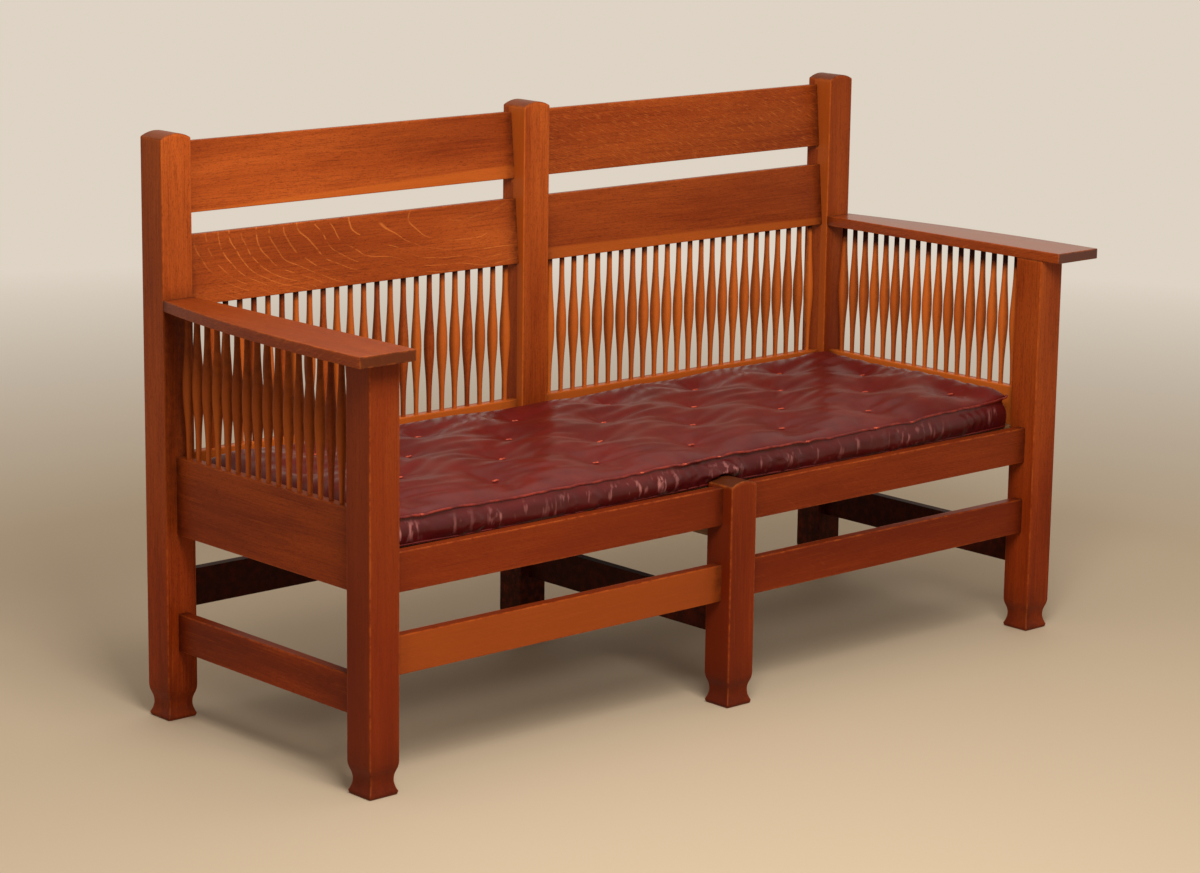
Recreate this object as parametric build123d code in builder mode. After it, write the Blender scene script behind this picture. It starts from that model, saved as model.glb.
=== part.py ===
from build123d import *

import os
from dataclasses import dataclass
from math import atan2, cos, degrees, pi, radians, sin, tan

# A mission settle in quarter-sawn oak: six square posts on turned-in feet, a back and two
# sides of slender turned spindles, broad flat arms, and one long tufted leather cushion.
# Millimetres. X runs along the settle, the front faces -Y and Z is up. The origin is on
# the floor, in the middle of the overall length and depth. Left is at -X.

os.makedirs("parts", exist_ok=True)

# Plan of the frame
length_over_posts = 1556
depth_over_posts = 582
post_size = 57
arm_overhang_front = 39
arm_overhang_side = 48

# Boards, and the tenons that join them to the posts
board_thickness = 19
board_edge = 1.2
tenon_thickness = 9.5
tenon_length = 19
tenon_shoulder = 8
mortise_clearance = 0.1
mortise_end_gap = 1
rail_setback = 21
back_setback = 12.5
back_lean = 5

# Levels, from the floor up
side_stretcher_bottom = 116
stretcher_height = 62
stretcher_step = 2
seat_rail_bottom = 309
seat_rail_height = 128
front_rail_height = 63
arm_underside = 675
back_slat_height = 113
crest_gap = 34
crest_height = 114
post_above_crest = 11
center_post_above_rail = 3
crown_rise = 8

# Feet, as insets from the faces of a post
foot_height = 54
foot_neck_inset = 6
foot_neck_height = 24.5
foot_lip_inset = 1
foot_lip_height = 6
foot_base_inset = 3
post_edge = 1.5

# Arms
arm_thickness = 18
arm_straight = 80
arm_corner_radius = 3
arm_post_tenon = 25
arm_rear_tenon_width = 30
arm_tenon_length = 12

# Spindles: each end is a table of stations, as shares of the visible length away from the
# belly, and widths there as shares of the belly's
spindle_belly = 16.9
spindle_belly_share = 0.46
spindle_foot_shares = ((0, 1), (0.16, 0.83), (0.40, 0.485))
spindle_head_shares = ((0, 1), (0.15, 0.84), (0.36, 0.45))
spindle_pin_length = 12
spindle_end_inset = 22.6
back_spindle_count = 24
side_spindle_count = 17
spindle_sides = 6

# Seat frame
deck_below_rail = 4
slat_thickness = 15
slat_gap = 10
slat_edge_gap = 5
slat_end_gap = 1
slat_count = 6
cleat_size = 22
center_rail_height = 75

# Cushion: bands are shares of its thickness, insets in millimetres
cushion_thickness = 71.7
cushion_clearance = 0.3
cushion_end_clearance = 0.6
cushion_front_bulge = 13
cushion_back_bulge = 11.5
cushion_corner_radius = 14
cushion_bottom_inset = 9
cushion_side_draw = 5
cushion_seam_inset = 1
cushion_shoulder_inset = 9
cushion_brow_inset = 36
cushion_crown_inset = 92
cushion_band_shares = (0, 0.09, 0.35, 0.64, 0.79, 0.92, 1)

# Sewn tufts: a diamond lattice, each a shallow dimple with folds towards its four neighbours
# and a deep pit where the twine pulls
tuft_end_margin = 82
tuft_edge_margin = 71.4
tuft_row_counts = (7, 6, 7, 6)
tuft_fold_reach = 72
tuft_fold_depth = 12
tuft_pit_reach = 27
tuft_pit_depth = 22
tuft_pinch = 4
tuft_overrun = 0.5

# Derived places
half_length = length_over_posts / 2
front_face = -(depth_over_posts + arm_overhang_front) / 2 + arm_overhang_front
rear_face = front_face + depth_over_posts
front_post_back = front_face + post_size
rear_post_front = rear_face - post_size
end_post_inner = half_length - post_size
end_post_middle = half_length - post_size / 2
front_post_middle = front_face + post_size / 2
rear_post_middle = rear_face - post_size / 2

bay_length = end_post_inner - post_size / 2
bay_middle = (end_post_inner + post_size / 2) / 2
side_length = rear_post_front - front_post_back
side_middle = (rear_post_front + front_post_back) / 2

front_board_middle = front_face + rail_setback + board_thickness / 2
side_board_middle = half_length - rail_setback - board_thickness / 2
back_board_middle = rear_post_front + back_setback + board_thickness / 2

front_stretcher_bottom = side_stretcher_bottom + stretcher_height + stretcher_step
seat_rail_top = seat_rail_bottom + seat_rail_height
front_rail_top = seat_rail_bottom + front_rail_height
crest_bottom = arm_underside + back_slat_height + crest_gap
crest_middle = back_board_middle + (crest_bottom - arm_underside) * tan(radians(back_lean))
rear_post_height = crest_bottom + crest_height + post_above_crest
center_post_height = front_rail_top + center_post_above_rail
deck_top = front_rail_top - deck_below_rail
deck_underside = deck_top - slat_thickness

sides = {"left": -1, "right": 1}


@dataclass(frozen=True)
class Board:
    """Cross-section of a board: the middle and level of its bottom edge, height and lean."""

    middle: float
    bottom: float
    height: float
    lean: float = 0

    @property
    def place(self):
        return Location((self.middle, self.bottom, 0), (0, 0, -self.lean))


def board_outline(board):
    """Draws the board's section in the sketch in hand."""
    with Locations(board.place):
        Rectangle(board_thickness, board.height, align=(Align.CENTER, Align.MIN))


def tenon_outline(board, clearance=0):
    """Draws the section of the board's tenon, or of its mortise with a clearance."""
    width = tenon_thickness + 2 * clearance
    height = board.height - 2 * tenon_shoulder + 2 * clearance
    with Locations(board.place):
        with Locations((0, tenon_shoulder - clearance)):
            Rectangle(width, height, align=(Align.CENTER, Align.MIN))


def save(piece, label):
    """Names a finished piece and writes it."""
    piece.part.label = label
    export_step(piece.part, f"parts/{label}.step")


front_stretcher = Board(front_board_middle, front_stretcher_bottom, stretcher_height)
back_stretcher = Board(rear_post_middle, front_stretcher_bottom, stretcher_height)
front_rail = Board(front_board_middle, seat_rail_bottom, front_rail_height)
back_rail = Board(back_board_middle, seat_rail_bottom, seat_rail_height)
back_slat = Board(back_board_middle, arm_underside, back_slat_height, back_lean)
crest_rail = Board(crest_middle, crest_bottom, crest_height, back_lean)
center_stretcher = Board(0, side_stretcher_bottom, stretcher_height)
center_rail = Board(0, deck_underside - center_rail_height, center_rail_height)
side_stretchers = {
    side: Board(sign * side_board_middle, side_stretcher_bottom, stretcher_height)
    for side, sign in sides.items()
}
side_rails = {
    side: Board(sign * side_board_middle, seat_rail_bottom, seat_rail_height)
    for side, sign in sides.items()
}


def facet_radius(width):
    """Corner radius of the spindles' polygon that is on average as wide as the round turning."""
    return width * pi / (2 * spindle_sides * sin(pi / spindle_sides))


def turned_end(shares, reach):
    """One end of a spindle, upright on its belly: tapering bands, then the neck and its pin."""
    stations = [(at * spindle_length, facet_radius(wide * spindle_belly)) for at, wide in shares]
    with BuildPart() as end:
        for (low, broad), (high, thin) in zip(stations, stations[1:]):
            narrowing = (broad - thin) * cos(pi / spindle_sides)
            with BuildSketch(Plane.XY.offset(low)):
                RegularPolygon(broad, spindle_sides)
            extrude(amount=high - low, taper=degrees(atan2(narrowing, high - low)))
        with BuildSketch(Plane.XY.offset(high)):
            RegularPolygon(thin, spindle_sides)
        extrude(amount=reach - high)
    return end.part, thin


# One spindle about its belly, first the foot turned over and then the head
spindle_length = arm_underside - seat_rail_top
belly_height = spindle_belly_share * spindle_length
head_reach = spindle_length - belly_height + spindle_pin_length
foot_end, foot_pin_radius = turned_end(spindle_foot_shares, belly_height + spindle_pin_length)
head_end, head_pin_radius = turned_end(spindle_head_shares, head_reach)
with BuildPart() as spindle:
    add(foot_end)
    mirror(about=Plane.XY, mode=Mode.REPLACE)
    add(head_end)

back_spindle_pitch = (bay_length - 2 * spindle_end_inset) / (back_spindle_count - 1)
side_spindle_pitch = (side_length - 2 * spindle_end_inset) / (side_spindle_count - 1)
socket_depth = spindle_pin_length + mortise_end_gap
back_spindle_places = {
    side: [
        (sign * bay_middle - bay_length / 2 + spindle_end_inset + n * back_spindle_pitch,
         back_board_middle)
        for n in range(back_spindle_count)
    ]
    for side, sign in sides.items()
}
side_spindle_places = {
    side: [
        (sign * side_board_middle, front_post_back + spindle_end_inset + n * side_spindle_pitch)
        for n in range(side_spindle_count)
    ]
    for side, sign in sides.items()
}

# The posts' outlines, each drawn about its own centre line
cove_radius = ((foot_neck_inset - foot_lip_inset) ** 2 + (foot_neck_height - foot_lip_height) ** 2) / (
    2 * (foot_neck_inset - foot_lip_inset)
)
ogee_radii = (foot_neck_inset**2 + (foot_height - foot_neck_height) ** 2) / (2 * foot_neck_inset)
swell_radius = ogee_radii - cove_radius
foot_lip = Vector(post_size / 2 - foot_lip_inset, foot_lip_height)
foot_neck = Vector(post_size / 2 - foot_neck_inset, foot_neck_height)
cove_center = foot_neck + Vector(cove_radius, 0)
swell_center = Vector(post_size / 2 - swell_radius, foot_height)
foot_inflection = cove_center + (swell_center - cove_center) * (cove_radius / ogee_radii)


def post_outline(top, crown=0):
    """A post seen square on: flared foot, hollow neck, straight shaft, flat or curved top."""
    with BuildSketch() as outline:
        with BuildLine():
            Line((0, 0), (post_size / 2 - foot_base_inset, 0))
            TangentArc(foot_lip, (post_size / 2 - foot_base_inset, 0), tangent=(0, -1))
            cove = ThreePointArc(foot_lip, foot_neck, foot_inflection)
            swell = TangentArc(cove @ 1, (post_size / 2, foot_height), tangent=cove % 1)
            shaft = Line(swell @ 1, (post_size / 2, top))
            mirror(about=Plane.YZ)
            if crown:
                ThreePointArc(shaft @ 1, (0, top + crown), (-post_size / 2, top))
            else:
                Line(shaft @ 1, (-post_size / 2, top))
        make_face()
    return outline.sketch


def make_post(label, x, y, top, long_boards, cross_boards, crown=0, arm_tenon=0):
    """A post at x, y. Boards along X enter the faces listed with them, and so do those along Y."""
    with BuildPart() as post:
        with BuildSketch(Plane.XZ.offset(-y)):
            with Locations((x, 0)):
                add(post_outline(top, crown))
        extrude(amount=post_size / 2, both=True)
        with BuildSketch(Plane.YZ.offset(x)):
            with Locations((y, 0)):
                add(post_outline(top + crown))
        extrude(amount=post_size / 2, both=True, mode=Mode.INTERSECT)
        with BuildSketch():
            with Locations((x, y)):
                Rectangle(post_size, post_size)
            chamfer(vertices(), post_edge)
        extrude(amount=top + crown, mode=Mode.INTERSECT)
        if arm_tenon:
            with BuildSketch(Plane.XY.offset(top)):
                with Locations((x, y)):
                    Rectangle(arm_post_tenon, arm_post_tenon)
            extrude(amount=arm_tenon)
        depth = tenon_length + mortise_end_gap
        for face, boards in long_boards:
            with BuildSketch(Plane.YZ.offset(x + face * post_size / 2)):
                for board in boards:
                    tenon_outline(board, mortise_clearance)
            extrude(amount=-face * depth, mode=Mode.SUBTRACT)
        for face, boards in cross_boards:
            with BuildSketch(Plane.XZ.offset(-(y + face * post_size / 2))):
                for board in boards:
                    tenon_outline(board, mortise_clearance)
            extrude(amount=face * depth, mode=Mode.SUBTRACT)
        if arm_tenon == 0 and crown and x and y > 0:
            with BuildSketch(Plane.XZ.offset(-rear_post_front)):
                with Locations((x, arm_underside + arm_thickness / 2)):
                    Rectangle(
                        arm_rear_tenon_width + 2 * mortise_clearance,
                        tenon_thickness + 2 * mortise_clearance,
                    )
            extrude(amount=-(arm_tenon_length + mortise_end_gap), mode=Mode.SUBTRACT)
    save(post, label)


front_boards = [front_stretcher, front_rail]
back_boards = [back_stretcher, back_rail, back_slat, crest_rail]
middle_boards = [center_stretcher, center_rail]
for side, sign in sides.items():
    side_boards = [side_stretchers[side], side_rails[side]]
    make_post(
        f"front_post_{side}", sign * end_post_middle, front_post_middle, arm_underside,
        [(-sign, front_boards)], [(1, side_boards)], arm_tenon=arm_tenon_length,
    )
    make_post(
        f"rear_post_{side}", sign * end_post_middle, rear_post_middle, rear_post_height,
        [(-sign, back_boards)], [(-1, side_boards)], crown=crown_rise,
    )
make_post(
    "front_post_center", 0, front_post_middle, center_post_height,
    [(-1, front_boards), (1, front_boards)], [(1, middle_boards)], crown=crown_rise,
)
make_post(
    "rear_post_center", 0, rear_post_middle, rear_post_height,
    [(-1, back_boards), (1, back_boards)], [(-1, middle_boards)], crown=crown_rise,
)


def make_long_board(label, board, sign, sockets=()):
    """A board along X in one bay, with its end tenons and any spindle sockets."""
    start = sign * bay_middle - bay_length / 2
    with BuildPart() as piece:
        with BuildSketch(Plane.YZ.offset(start)):
            board_outline(board)
        extrude(amount=bay_length)
        chamfer(piece.edges().filter_by(Axis.X), board_edge)
        with BuildSketch(Plane.YZ.offset(start - tenon_length)):
            tenon_outline(board)
        extrude(amount=bay_length + 2 * tenon_length)
        for level, radius, places, depth in sockets:
            with BuildSketch(Plane.XY.offset(level)):
                with Locations(*places):
                    RegularPolygon(radius + mortise_clearance, spindle_sides)
            extrude(amount=depth, mode=Mode.SUBTRACT)
    save(piece, label)


def make_cross_board(label, board, sockets=()):
    """A board along Y between a front and a rear post, likewise."""
    with BuildPart() as piece:
        with BuildSketch(Plane.XZ.offset(-rear_post_front)):
            board_outline(board)
        extrude(amount=side_length)
        chamfer(piece.edges().filter_by(Axis.Y), board_edge)
        with BuildSketch(Plane.XZ.offset(-rear_post_front - tenon_length)):
            tenon_outline(board)
        extrude(amount=side_length + 2 * tenon_length)
        for level, radius, places, depth in sockets:
            with BuildSketch(Plane.XY.offset(level)):
                with Locations(*places):
                    RegularPolygon(radius + mortise_clearance, spindle_sides)
            extrude(amount=depth, mode=Mode.SUBTRACT)
    save(piece, label)


# The leaning slat's underside falls away behind its face, so its sockets start lower
slat_socket_start = arm_underside - board_thickness * tan(radians(back_lean))
slat_socket_depth = arm_underside + socket_depth - slat_socket_start
for side, sign in sides.items():
    foot_sockets = [(seat_rail_top, foot_pin_radius, back_spindle_places[side], -socket_depth)]
    head_sockets = [
        (slat_socket_start, head_pin_radius, back_spindle_places[side], slat_socket_depth)
    ]
    make_long_board(f"front_stretcher_{side}", front_stretcher, sign)
    make_long_board(f"front_seat_rail_{side}", front_rail, sign)
    make_long_board(f"back_stretcher_{side}", back_stretcher, sign)
    make_long_board(f"back_seat_rail_{side}", back_rail, sign, foot_sockets)
    make_long_board(f"back_slat_{side}", back_slat, sign, head_sockets)
    make_long_board(f"crest_rail_{side}", crest_rail, sign)

    side_sockets = [(seat_rail_top, foot_pin_radius, side_spindle_places[side], -socket_depth)]
    make_cross_board(f"side_stretcher_{side}", side_stretchers[side])
    make_cross_board(f"side_seat_rail_{side}", side_rails[side], side_sockets)

    for name, places in (("back", back_spindle_places), ("side", side_spindle_places)):
        with BuildPart() as row:
            with Locations(*((x, y, seat_rail_top + belly_height) for x, y in places[side])):
                add(spindle.part)
        save(row, f"{name}_spindles_{side}")

make_cross_board("center_stretcher", center_stretcher)
make_cross_board("center_seat_rail", center_rail)

# Arms: straight inside, broad in front and drawn in by a long curve to the rear post
arm_front = front_face - arm_overhang_front
arm_outer = half_length + arm_overhang_side
for side, sign in sides.items():
    with BuildPart() as arm:
        with BuildSketch(Plane.XY.offset(arm_underside)):
            with BuildLine():
                Polyline(
                    (sign * half_length, rear_post_front),
                    (sign * end_post_inner, rear_post_front),
                    (sign * end_post_inner, arm_front),
                    (sign * arm_outer, arm_front),
                    (sign * arm_outer, arm_front + arm_straight),
                )
                TangentArc(
                    (sign * arm_outer, arm_front + arm_straight),
                    (sign * half_length, rear_post_front),
                    tangent=(0, 1),
                )
            make_face()
            fillet(vertices().group_by(Axis.Y)[0], arm_corner_radius)
        extrude(amount=arm_thickness)
        rims = arm.faces().filter_by(Axis.Z).edges()
        rims = rims.filter_by(lambda rim: rim.center().Y < rear_post_front - board_edge)
        chamfer(rims, board_edge)
        with BuildSketch(Plane.XZ.offset(-rear_post_front)):
            with Locations((sign * end_post_middle, arm_underside + arm_thickness / 2)):
                Rectangle(arm_rear_tenon_width, tenon_thickness)
        extrude(amount=-arm_tenon_length)
        with BuildSketch(Plane.XY.offset(arm_underside)):
            with Locations((sign * end_post_middle, front_post_middle)):
                Rectangle(
                    arm_post_tenon + 2 * mortise_clearance, arm_post_tenon + 2 * mortise_clearance
                )
        extrude(amount=arm_tenon_length + mortise_end_gap, mode=Mode.SUBTRACT)
        with BuildSketch(Plane.XY.offset(arm_underside)):
            with Locations(*side_spindle_places[side]):
                RegularPolygon(head_pin_radius + mortise_clearance, spindle_sides)
        extrude(amount=socket_depth, mode=Mode.SUBTRACT)
    save(arm, f"arm_{side}")

# The seat's loose boards lie lengthwise on a cleat at each side and on the middle rail
side_rail_inner = side_board_middle - board_thickness / 2
seat_slat_length = side_rail_inner - 2 * slat_end_gap
slat_gaps = 2 * slat_edge_gap + (slat_count - 1) * slat_gap
slat_width = (side_length - slat_gaps) / slat_count
for side, sign in sides.items():
    with BuildPart() as cleat:
        with BuildSketch(Plane.XY.offset(deck_underside)):
            with Locations((sign * (side_rail_inner - cleat_size / 2), side_middle)):
                Rectangle(cleat_size, side_length - 2 * slat_end_gap)
        extrude(amount=-cleat_size)
    save(cleat, f"seat_cleat_{side}")

    with BuildPart() as slats:
        with BuildSketch(Plane.XY.offset(deck_underside)):
            with Locations((sign * side_rail_inner / 2, side_middle)):
                with GridLocations(0, slat_width + slat_gap, 1, slat_count):
                    Rectangle(seat_slat_length, slat_width)
        extrude(amount=slat_thickness)
    save(slats, f"seat_slats_{side}")

# Cushion: an outline that swells between the posts, drawn up through its bands
cushion_half_length = end_post_inner - cushion_end_clearance
cushion_front = front_post_back + cushion_clearance
cushion_back = rear_post_front - cushion_clearance
cushion_bottom = deck_top + cushion_clearance
cushion_insets = (
    cushion_bottom_inset,
    cushion_seam_inset,
    cushion_side_draw,
    cushion_seam_inset,
    cushion_shoulder_inset,
    cushion_brow_inset,
    cushion_crown_inset,
)
cushion_waist = post_size / 2

tuft_pitch = 2 * (end_post_inner - tuft_end_margin) / (max(tuft_row_counts) - 1)
tuft_row_spacing = (side_length - 2 * tuft_edge_margin) / (len(tuft_row_counts) - 1)

# One tuft about the origin, drawn upright and turned over: a shallow pyramid with its corners
# towards the tufts around it, and a deeper pit
fold = Vector(tuft_pitch / 2, tuft_row_spacing).normalized() * tuft_fold_reach
fold_taper = degrees(atan2(fold.Y - tuft_pinch, tuft_fold_depth))
pit_taper = degrees(atan2(tuft_pit_reach - tuft_pinch, tuft_pit_depth))
with BuildPart() as tuft:
    with BuildSketch():
        Rectangle(2 * fold.X, 2 * fold.Y)
    extrude(amount=tuft_fold_depth, taper=fold_taper)
    with BuildSketch():
        Rectangle(2 * tuft_pit_reach, 2 * tuft_pit_reach)
    extrude(amount=tuft_pit_depth, taper=pit_taper)
    with BuildSketch():
        Rectangle(2 * fold.X, 2 * fold.Y)
    extrude(amount=-tuft_overrun)
    mirror(about=Plane.XY, mode=Mode.REPLACE)

tuft_places = []
for row, count in enumerate(tuft_row_counts):
    row_y = side_middle + (row - (len(tuft_row_counts) - 1) / 2) * tuft_row_spacing
    for n in range(count):
        tuft_places.append(((n - (count - 1) / 2) * tuft_pitch, row_y))

with BuildPart() as cushion:
    for share, inset in zip(cushion_band_shares, cushion_insets):
        end = cushion_half_length - inset
        front = cushion_front + inset
        back = cushion_back - inset
        quarter = (end + cushion_waist) / 2
        with BuildSketch(Plane.XY.offset(cushion_bottom + share * cushion_thickness)):
            with BuildLine():
                Line((-cushion_waist, front), (cushion_waist, front))
                ThreePointArc(
                    (cushion_waist, front), (quarter, front - cushion_front_bulge), (end, front)
                )
                Line((end, front), (end, back))
                ThreePointArc(
                    (end, back), (quarter, back + cushion_back_bulge), (cushion_waist, back)
                )
                Line((cushion_waist, back), (-cushion_waist, back))
                ThreePointArc(
                    (-cushion_waist, back), (-quarter, back + cushion_back_bulge), (-end, back)
                )
                Line((-end, back), (-end, front))
                ThreePointArc(
                    (-end, front), (-quarter, front - cushion_front_bulge), (-cushion_waist, front)
                )
            make_face()
            corners = vertices().group_by(Axis.X)
            fillet(corners[0] + corners[-1], cushion_corner_radius)
    loft(ruled=True)
    with Locations(*((x, y, cushion_bottom + cushion_thickness) for x, y in tuft_places)):
        add(tuft.part, mode=Mode.SUBTRACT)
save(cushion, "seat_cushion")
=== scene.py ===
from math import cos, pi, radians, sin, sqrt, tan

import bpy
import numpy as np
from mathutils import Matrix, Vector


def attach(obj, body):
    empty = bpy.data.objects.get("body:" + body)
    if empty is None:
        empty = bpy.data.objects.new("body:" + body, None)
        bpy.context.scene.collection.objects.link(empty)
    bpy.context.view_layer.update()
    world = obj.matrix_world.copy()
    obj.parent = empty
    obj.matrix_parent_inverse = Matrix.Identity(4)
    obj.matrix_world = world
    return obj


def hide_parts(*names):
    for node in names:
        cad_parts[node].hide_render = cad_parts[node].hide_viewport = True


# Looks of a mission settle in quarter-sawn oak: six square posts on turned-in feet, fields of
# slender turned spindles, broad flat arms, and one long tufted leather cushion.
# Places are in millimetres, as the maker measures them. X runs along the settle, the front
# faces -Y and Z is up. Finished meshes are in metres.

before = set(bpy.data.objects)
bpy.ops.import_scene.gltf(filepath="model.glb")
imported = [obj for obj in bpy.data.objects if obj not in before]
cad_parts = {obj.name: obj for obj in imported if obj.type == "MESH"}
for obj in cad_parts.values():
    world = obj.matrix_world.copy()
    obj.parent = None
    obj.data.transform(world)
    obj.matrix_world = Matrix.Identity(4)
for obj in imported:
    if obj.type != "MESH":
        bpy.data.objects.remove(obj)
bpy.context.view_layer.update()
scene = bpy.context.scene

METRES = 0.001
SIDES = {"left": -1, "right": 1}

# Plan of the frame
LENGTH_OVER_POSTS = 1556.0
POST = 57.0
FRONT_POST_Y = -243.0
REAR_POST_Y = 282.0
BOARD_THICKNESS = 19.0
RAIL_SETBACK, BACK_SETBACK = 21.0, 12.5
END_POST_X = (LENGTH_OVER_POSTS - POST) / 2
FRONT_POST_BACK = FRONT_POST_Y + POST / 2
REAR_POST_FRONT = REAR_POST_Y - POST / 2
BAY_MIDDLE = END_POST_X / 2
BAY_LENGTH = END_POST_X - POST
SIDE_LENGTH = REAR_POST_FRONT - FRONT_POST_BACK
SIDE_MIDDLE = (REAR_POST_FRONT + FRONT_POST_BACK) / 2
FRONT_BOARD_Y = FRONT_POST_Y - POST / 2 + RAIL_SETBACK + BOARD_THICKNESS / 2
BACK_BOARD_Y = REAR_POST_FRONT + BACK_SETBACK + BOARD_THICKNESS / 2
SIDE_BOARD_X = LENGTH_OVER_POSTS / 2 - RAIL_SETBACK - BOARD_THICKNESS / 2

# Levels from the floor up, and the heights of boards
SIDE_STRETCHER_BOTTOM, STRETCHER_BOTTOM, STRETCHER_HEIGHT = 116.0, 180.0, 62.0
SEAT_RAIL_BOTTOM, SEAT_RAIL_HEIGHT, FRONT_RAIL_HEIGHT = 309.0, 128.0, 63.0
SEAT_RAIL_TOP = SEAT_RAIL_BOTTOM + SEAT_RAIL_HEIGHT
ARM_UNDERSIDE, ARM_THICKNESS = 675.0, 18.0
SLAT_HEIGHT, CREST_GAP, CREST_HEIGHT = 113.0, 34.0, 114.0
CREST_BOTTOM = ARM_UNDERSIDE + SLAT_HEIGHT + CREST_GAP
POST_ABOVE_CREST, POST_ABOVE_RAIL, CROWN = 11.0, 3.0, 8.0
REAR_POST_TOP = CREST_BOTTOM + CREST_HEIGHT + POST_ABOVE_CREST
CENTER_POST_TOP = SEAT_RAIL_BOTTOM + FRONT_RAIL_HEIGHT + POST_ABOVE_RAIL
BACK_LEAN = radians(5.0)
CREST_Y = BACK_BOARD_Y + (CREST_BOTTOM - ARM_UNDERSIDE) * tan(BACK_LEAN)

# How edges are eased, and how far wear, and grime with painted shade at the joints, reach from them
EASE = 1.4
WORN_WIDTH = 3.2
JOINT_GRIME_AND_SHADE_REACH = 26.0
HIDDEN_END = 4.0
END_GRAIN_DEPTH = 0.55

# Camera: its place in metres, its turns from level and facing +Y, and its lens
CAMERA_PLACE = Vector((-3.7313, -4.0312, 1.6036))
CAMERA_YAW, CAMERA_PITCH, CAMERA_ROLL = radians(42.209), radians(-12.253), radians(0.791)
SENSOR_WIDTH, LENS = 36.0, 99.68


def new_piece(name, data):
    """An object with this mesh, lamp or lens, in the scene."""
    piece = bpy.data.objects.new(name, data)
    scene.collection.objects.link(piece)
    return piece


def set_camera():
    """Stands the camera where the settle is seen from."""
    lens = bpy.data.cameras.new("camera")
    lens.sensor_width = SENSOR_WIDTH
    lens.lens = LENS
    scene.camera = new_piece("camera", lens)
    turns = ((-CAMERA_YAW, "Z"), (pi / 2 + CAMERA_PITCH, "X"), (CAMERA_ROLL, "Z"))
    stand = Matrix.Translation(CAMERA_PLACE)
    for angle, axis in turns:
        stand @= Matrix.Rotation(angle, 4, axis)
    scene.camera.matrix_world = stand


def seen(red, green, blue):
    """A colour as it is seen on a screen, from 0 to 255, made into the light that it gives."""
    shares = (value / 255 for value in (red, green, blue))
    linear = (v / 12.92 if v <= 0.04045 else ((v + 0.055) / 1.055) ** 2.4 for v in shares)
    return (*linear, 1.0)


# Node trees

def operator(operation):
    """How wires are added, multiplied and so on: by a maths node on numbers or on vectors."""
    def work(first, second=0.0):
        vectors = first.socket.type in ("VECTOR", "RGBA")
        kind = "ShaderNodeVectorMath" if vectors else "ShaderNodeMath"
        return wire(first.tree, kind, {0: first, 1: second}, operation=operation)
    return work


class Wire:
    """What a node gives. A sum with wires adds the nodes that work it out."""

    def __init__(self, tree, socket):
        self.tree, self.socket = tree, socket

    __add__, __sub__ = operator("ADD"), operator("SUBTRACT")
    __mul__, __truediv__ = operator("MULTIPLY"), operator("DIVIDE")
    __mod__, __pow__ = operator("FLOORED_MODULO"), operator("POWER")
    __abs__, most = operator("ABSOLUTE"), operator("MAXIMUM")

    def __rsub__(self, other):
        return wire(self.tree, "ShaderNodeMath", {0: other, 1: self}, operation="SUBTRACT")

    def parts(self):
        """The three numbers of a vector."""
        split = add_node(self.tree, "ShaderNodeSeparateXYZ", {0: self})
        return [Wire(self.tree, part) for part in split.outputs]


def plug(node, inputs):
    """Puts values, or wires from other nodes, on a node's inputs."""
    for key, value in inputs.items():
        if isinstance(value, Wire):
            value.tree.links.new(value.socket, node.inputs[key])
        else:
            node.inputs[key].default_value = value


def add_node(tree, kind, inputs=(), **settings):
    """A node with its settings and inputs."""
    node = tree.nodes.new(kind)
    for key, value in settings.items():
        setattr(node, key, value)
    plug(node, dict(inputs))
    return node


def wire(tree, kind, inputs=(), output=0, **settings):
    """One output of a new node."""
    return Wire(tree, add_node(tree, kind, inputs, **settings).outputs[output])


def combine(tree, x=0.0, y=0.0, z=0.0):
    return wire(tree, "ShaderNodeCombineXYZ", {0: x, 1: y, 2: z})


def noise(place, fineness, detail=2.0, roughness=0.5, output="Fac"):
    """Cloudy noise at a place, as fine along each axis as these three numbers say."""
    return wire(place.tree, "ShaderNodeTexNoise", {
        "Vector": place * fineness, "Scale": 1.0, "Detail": detail, "Roughness": roughness,
    }, output)


def between(value, low, high, start=0.0, end=1.0):
    """The value brought from the range low..high to start..end, and kept there."""
    return wire(value.tree, "ShaderNodeMapRange", {
        "Value": value, "From Min": low, "From Max": high, "To Min": start, "To Max": end,
    })


def mingle(share, first, second):
    """The first colour with a share of the second."""
    return wire(share.tree, "ShaderNodeMix", {0: share, 6: first, 7: second}, 2, data_type="RGBA")


def paint(color, *layers):
    """A colour under layers, each of which is a share, and the colour's red, green and blue."""
    for share, *layer in layers:
        color = mingle(share, color, seen(*layer))
    return color


def measure(tree, name):
    """A number that the mesh carries under this name."""
    return wire(tree, "ShaderNodeAttribute", output="Fac", attribute_name=name)


def object_place(tree):
    return wire(tree, "ShaderNodeTexCoord", output="Object")


def bump(strength, distance, relief):
    """Normals for a relief that is this deep in metres."""
    return wire(relief.tree, "ShaderNodeBump", {
        "Strength": strength, "Distance": distance, "Height": relief,
    })


def give_surface(owner, kind, surface, *choices):
    """A material or a sky with the surface that this function makes in its tree."""
    owner.use_nodes = True
    owner.node_tree.nodes.clear()
    add_node(owner.node_tree, kind, {"Surface": surface(owner.node_tree, *choices)})
    return owner


def new_finish(name, surface, *choices):
    return give_surface(
        bpy.data.materials.new(name), "ShaderNodeOutputMaterial", surface, *choices
    )


def plain_surface(tree, inputs):
    return wire(tree, "ShaderNodeBsdfPrincipled", inputs)


# Finishes

# Which axes run along the grain and across it
GRAIN_ORDER = {"x": (0, 1, 2), "y": (1, 0, 2), "z": (2, 0, 1)}


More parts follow.
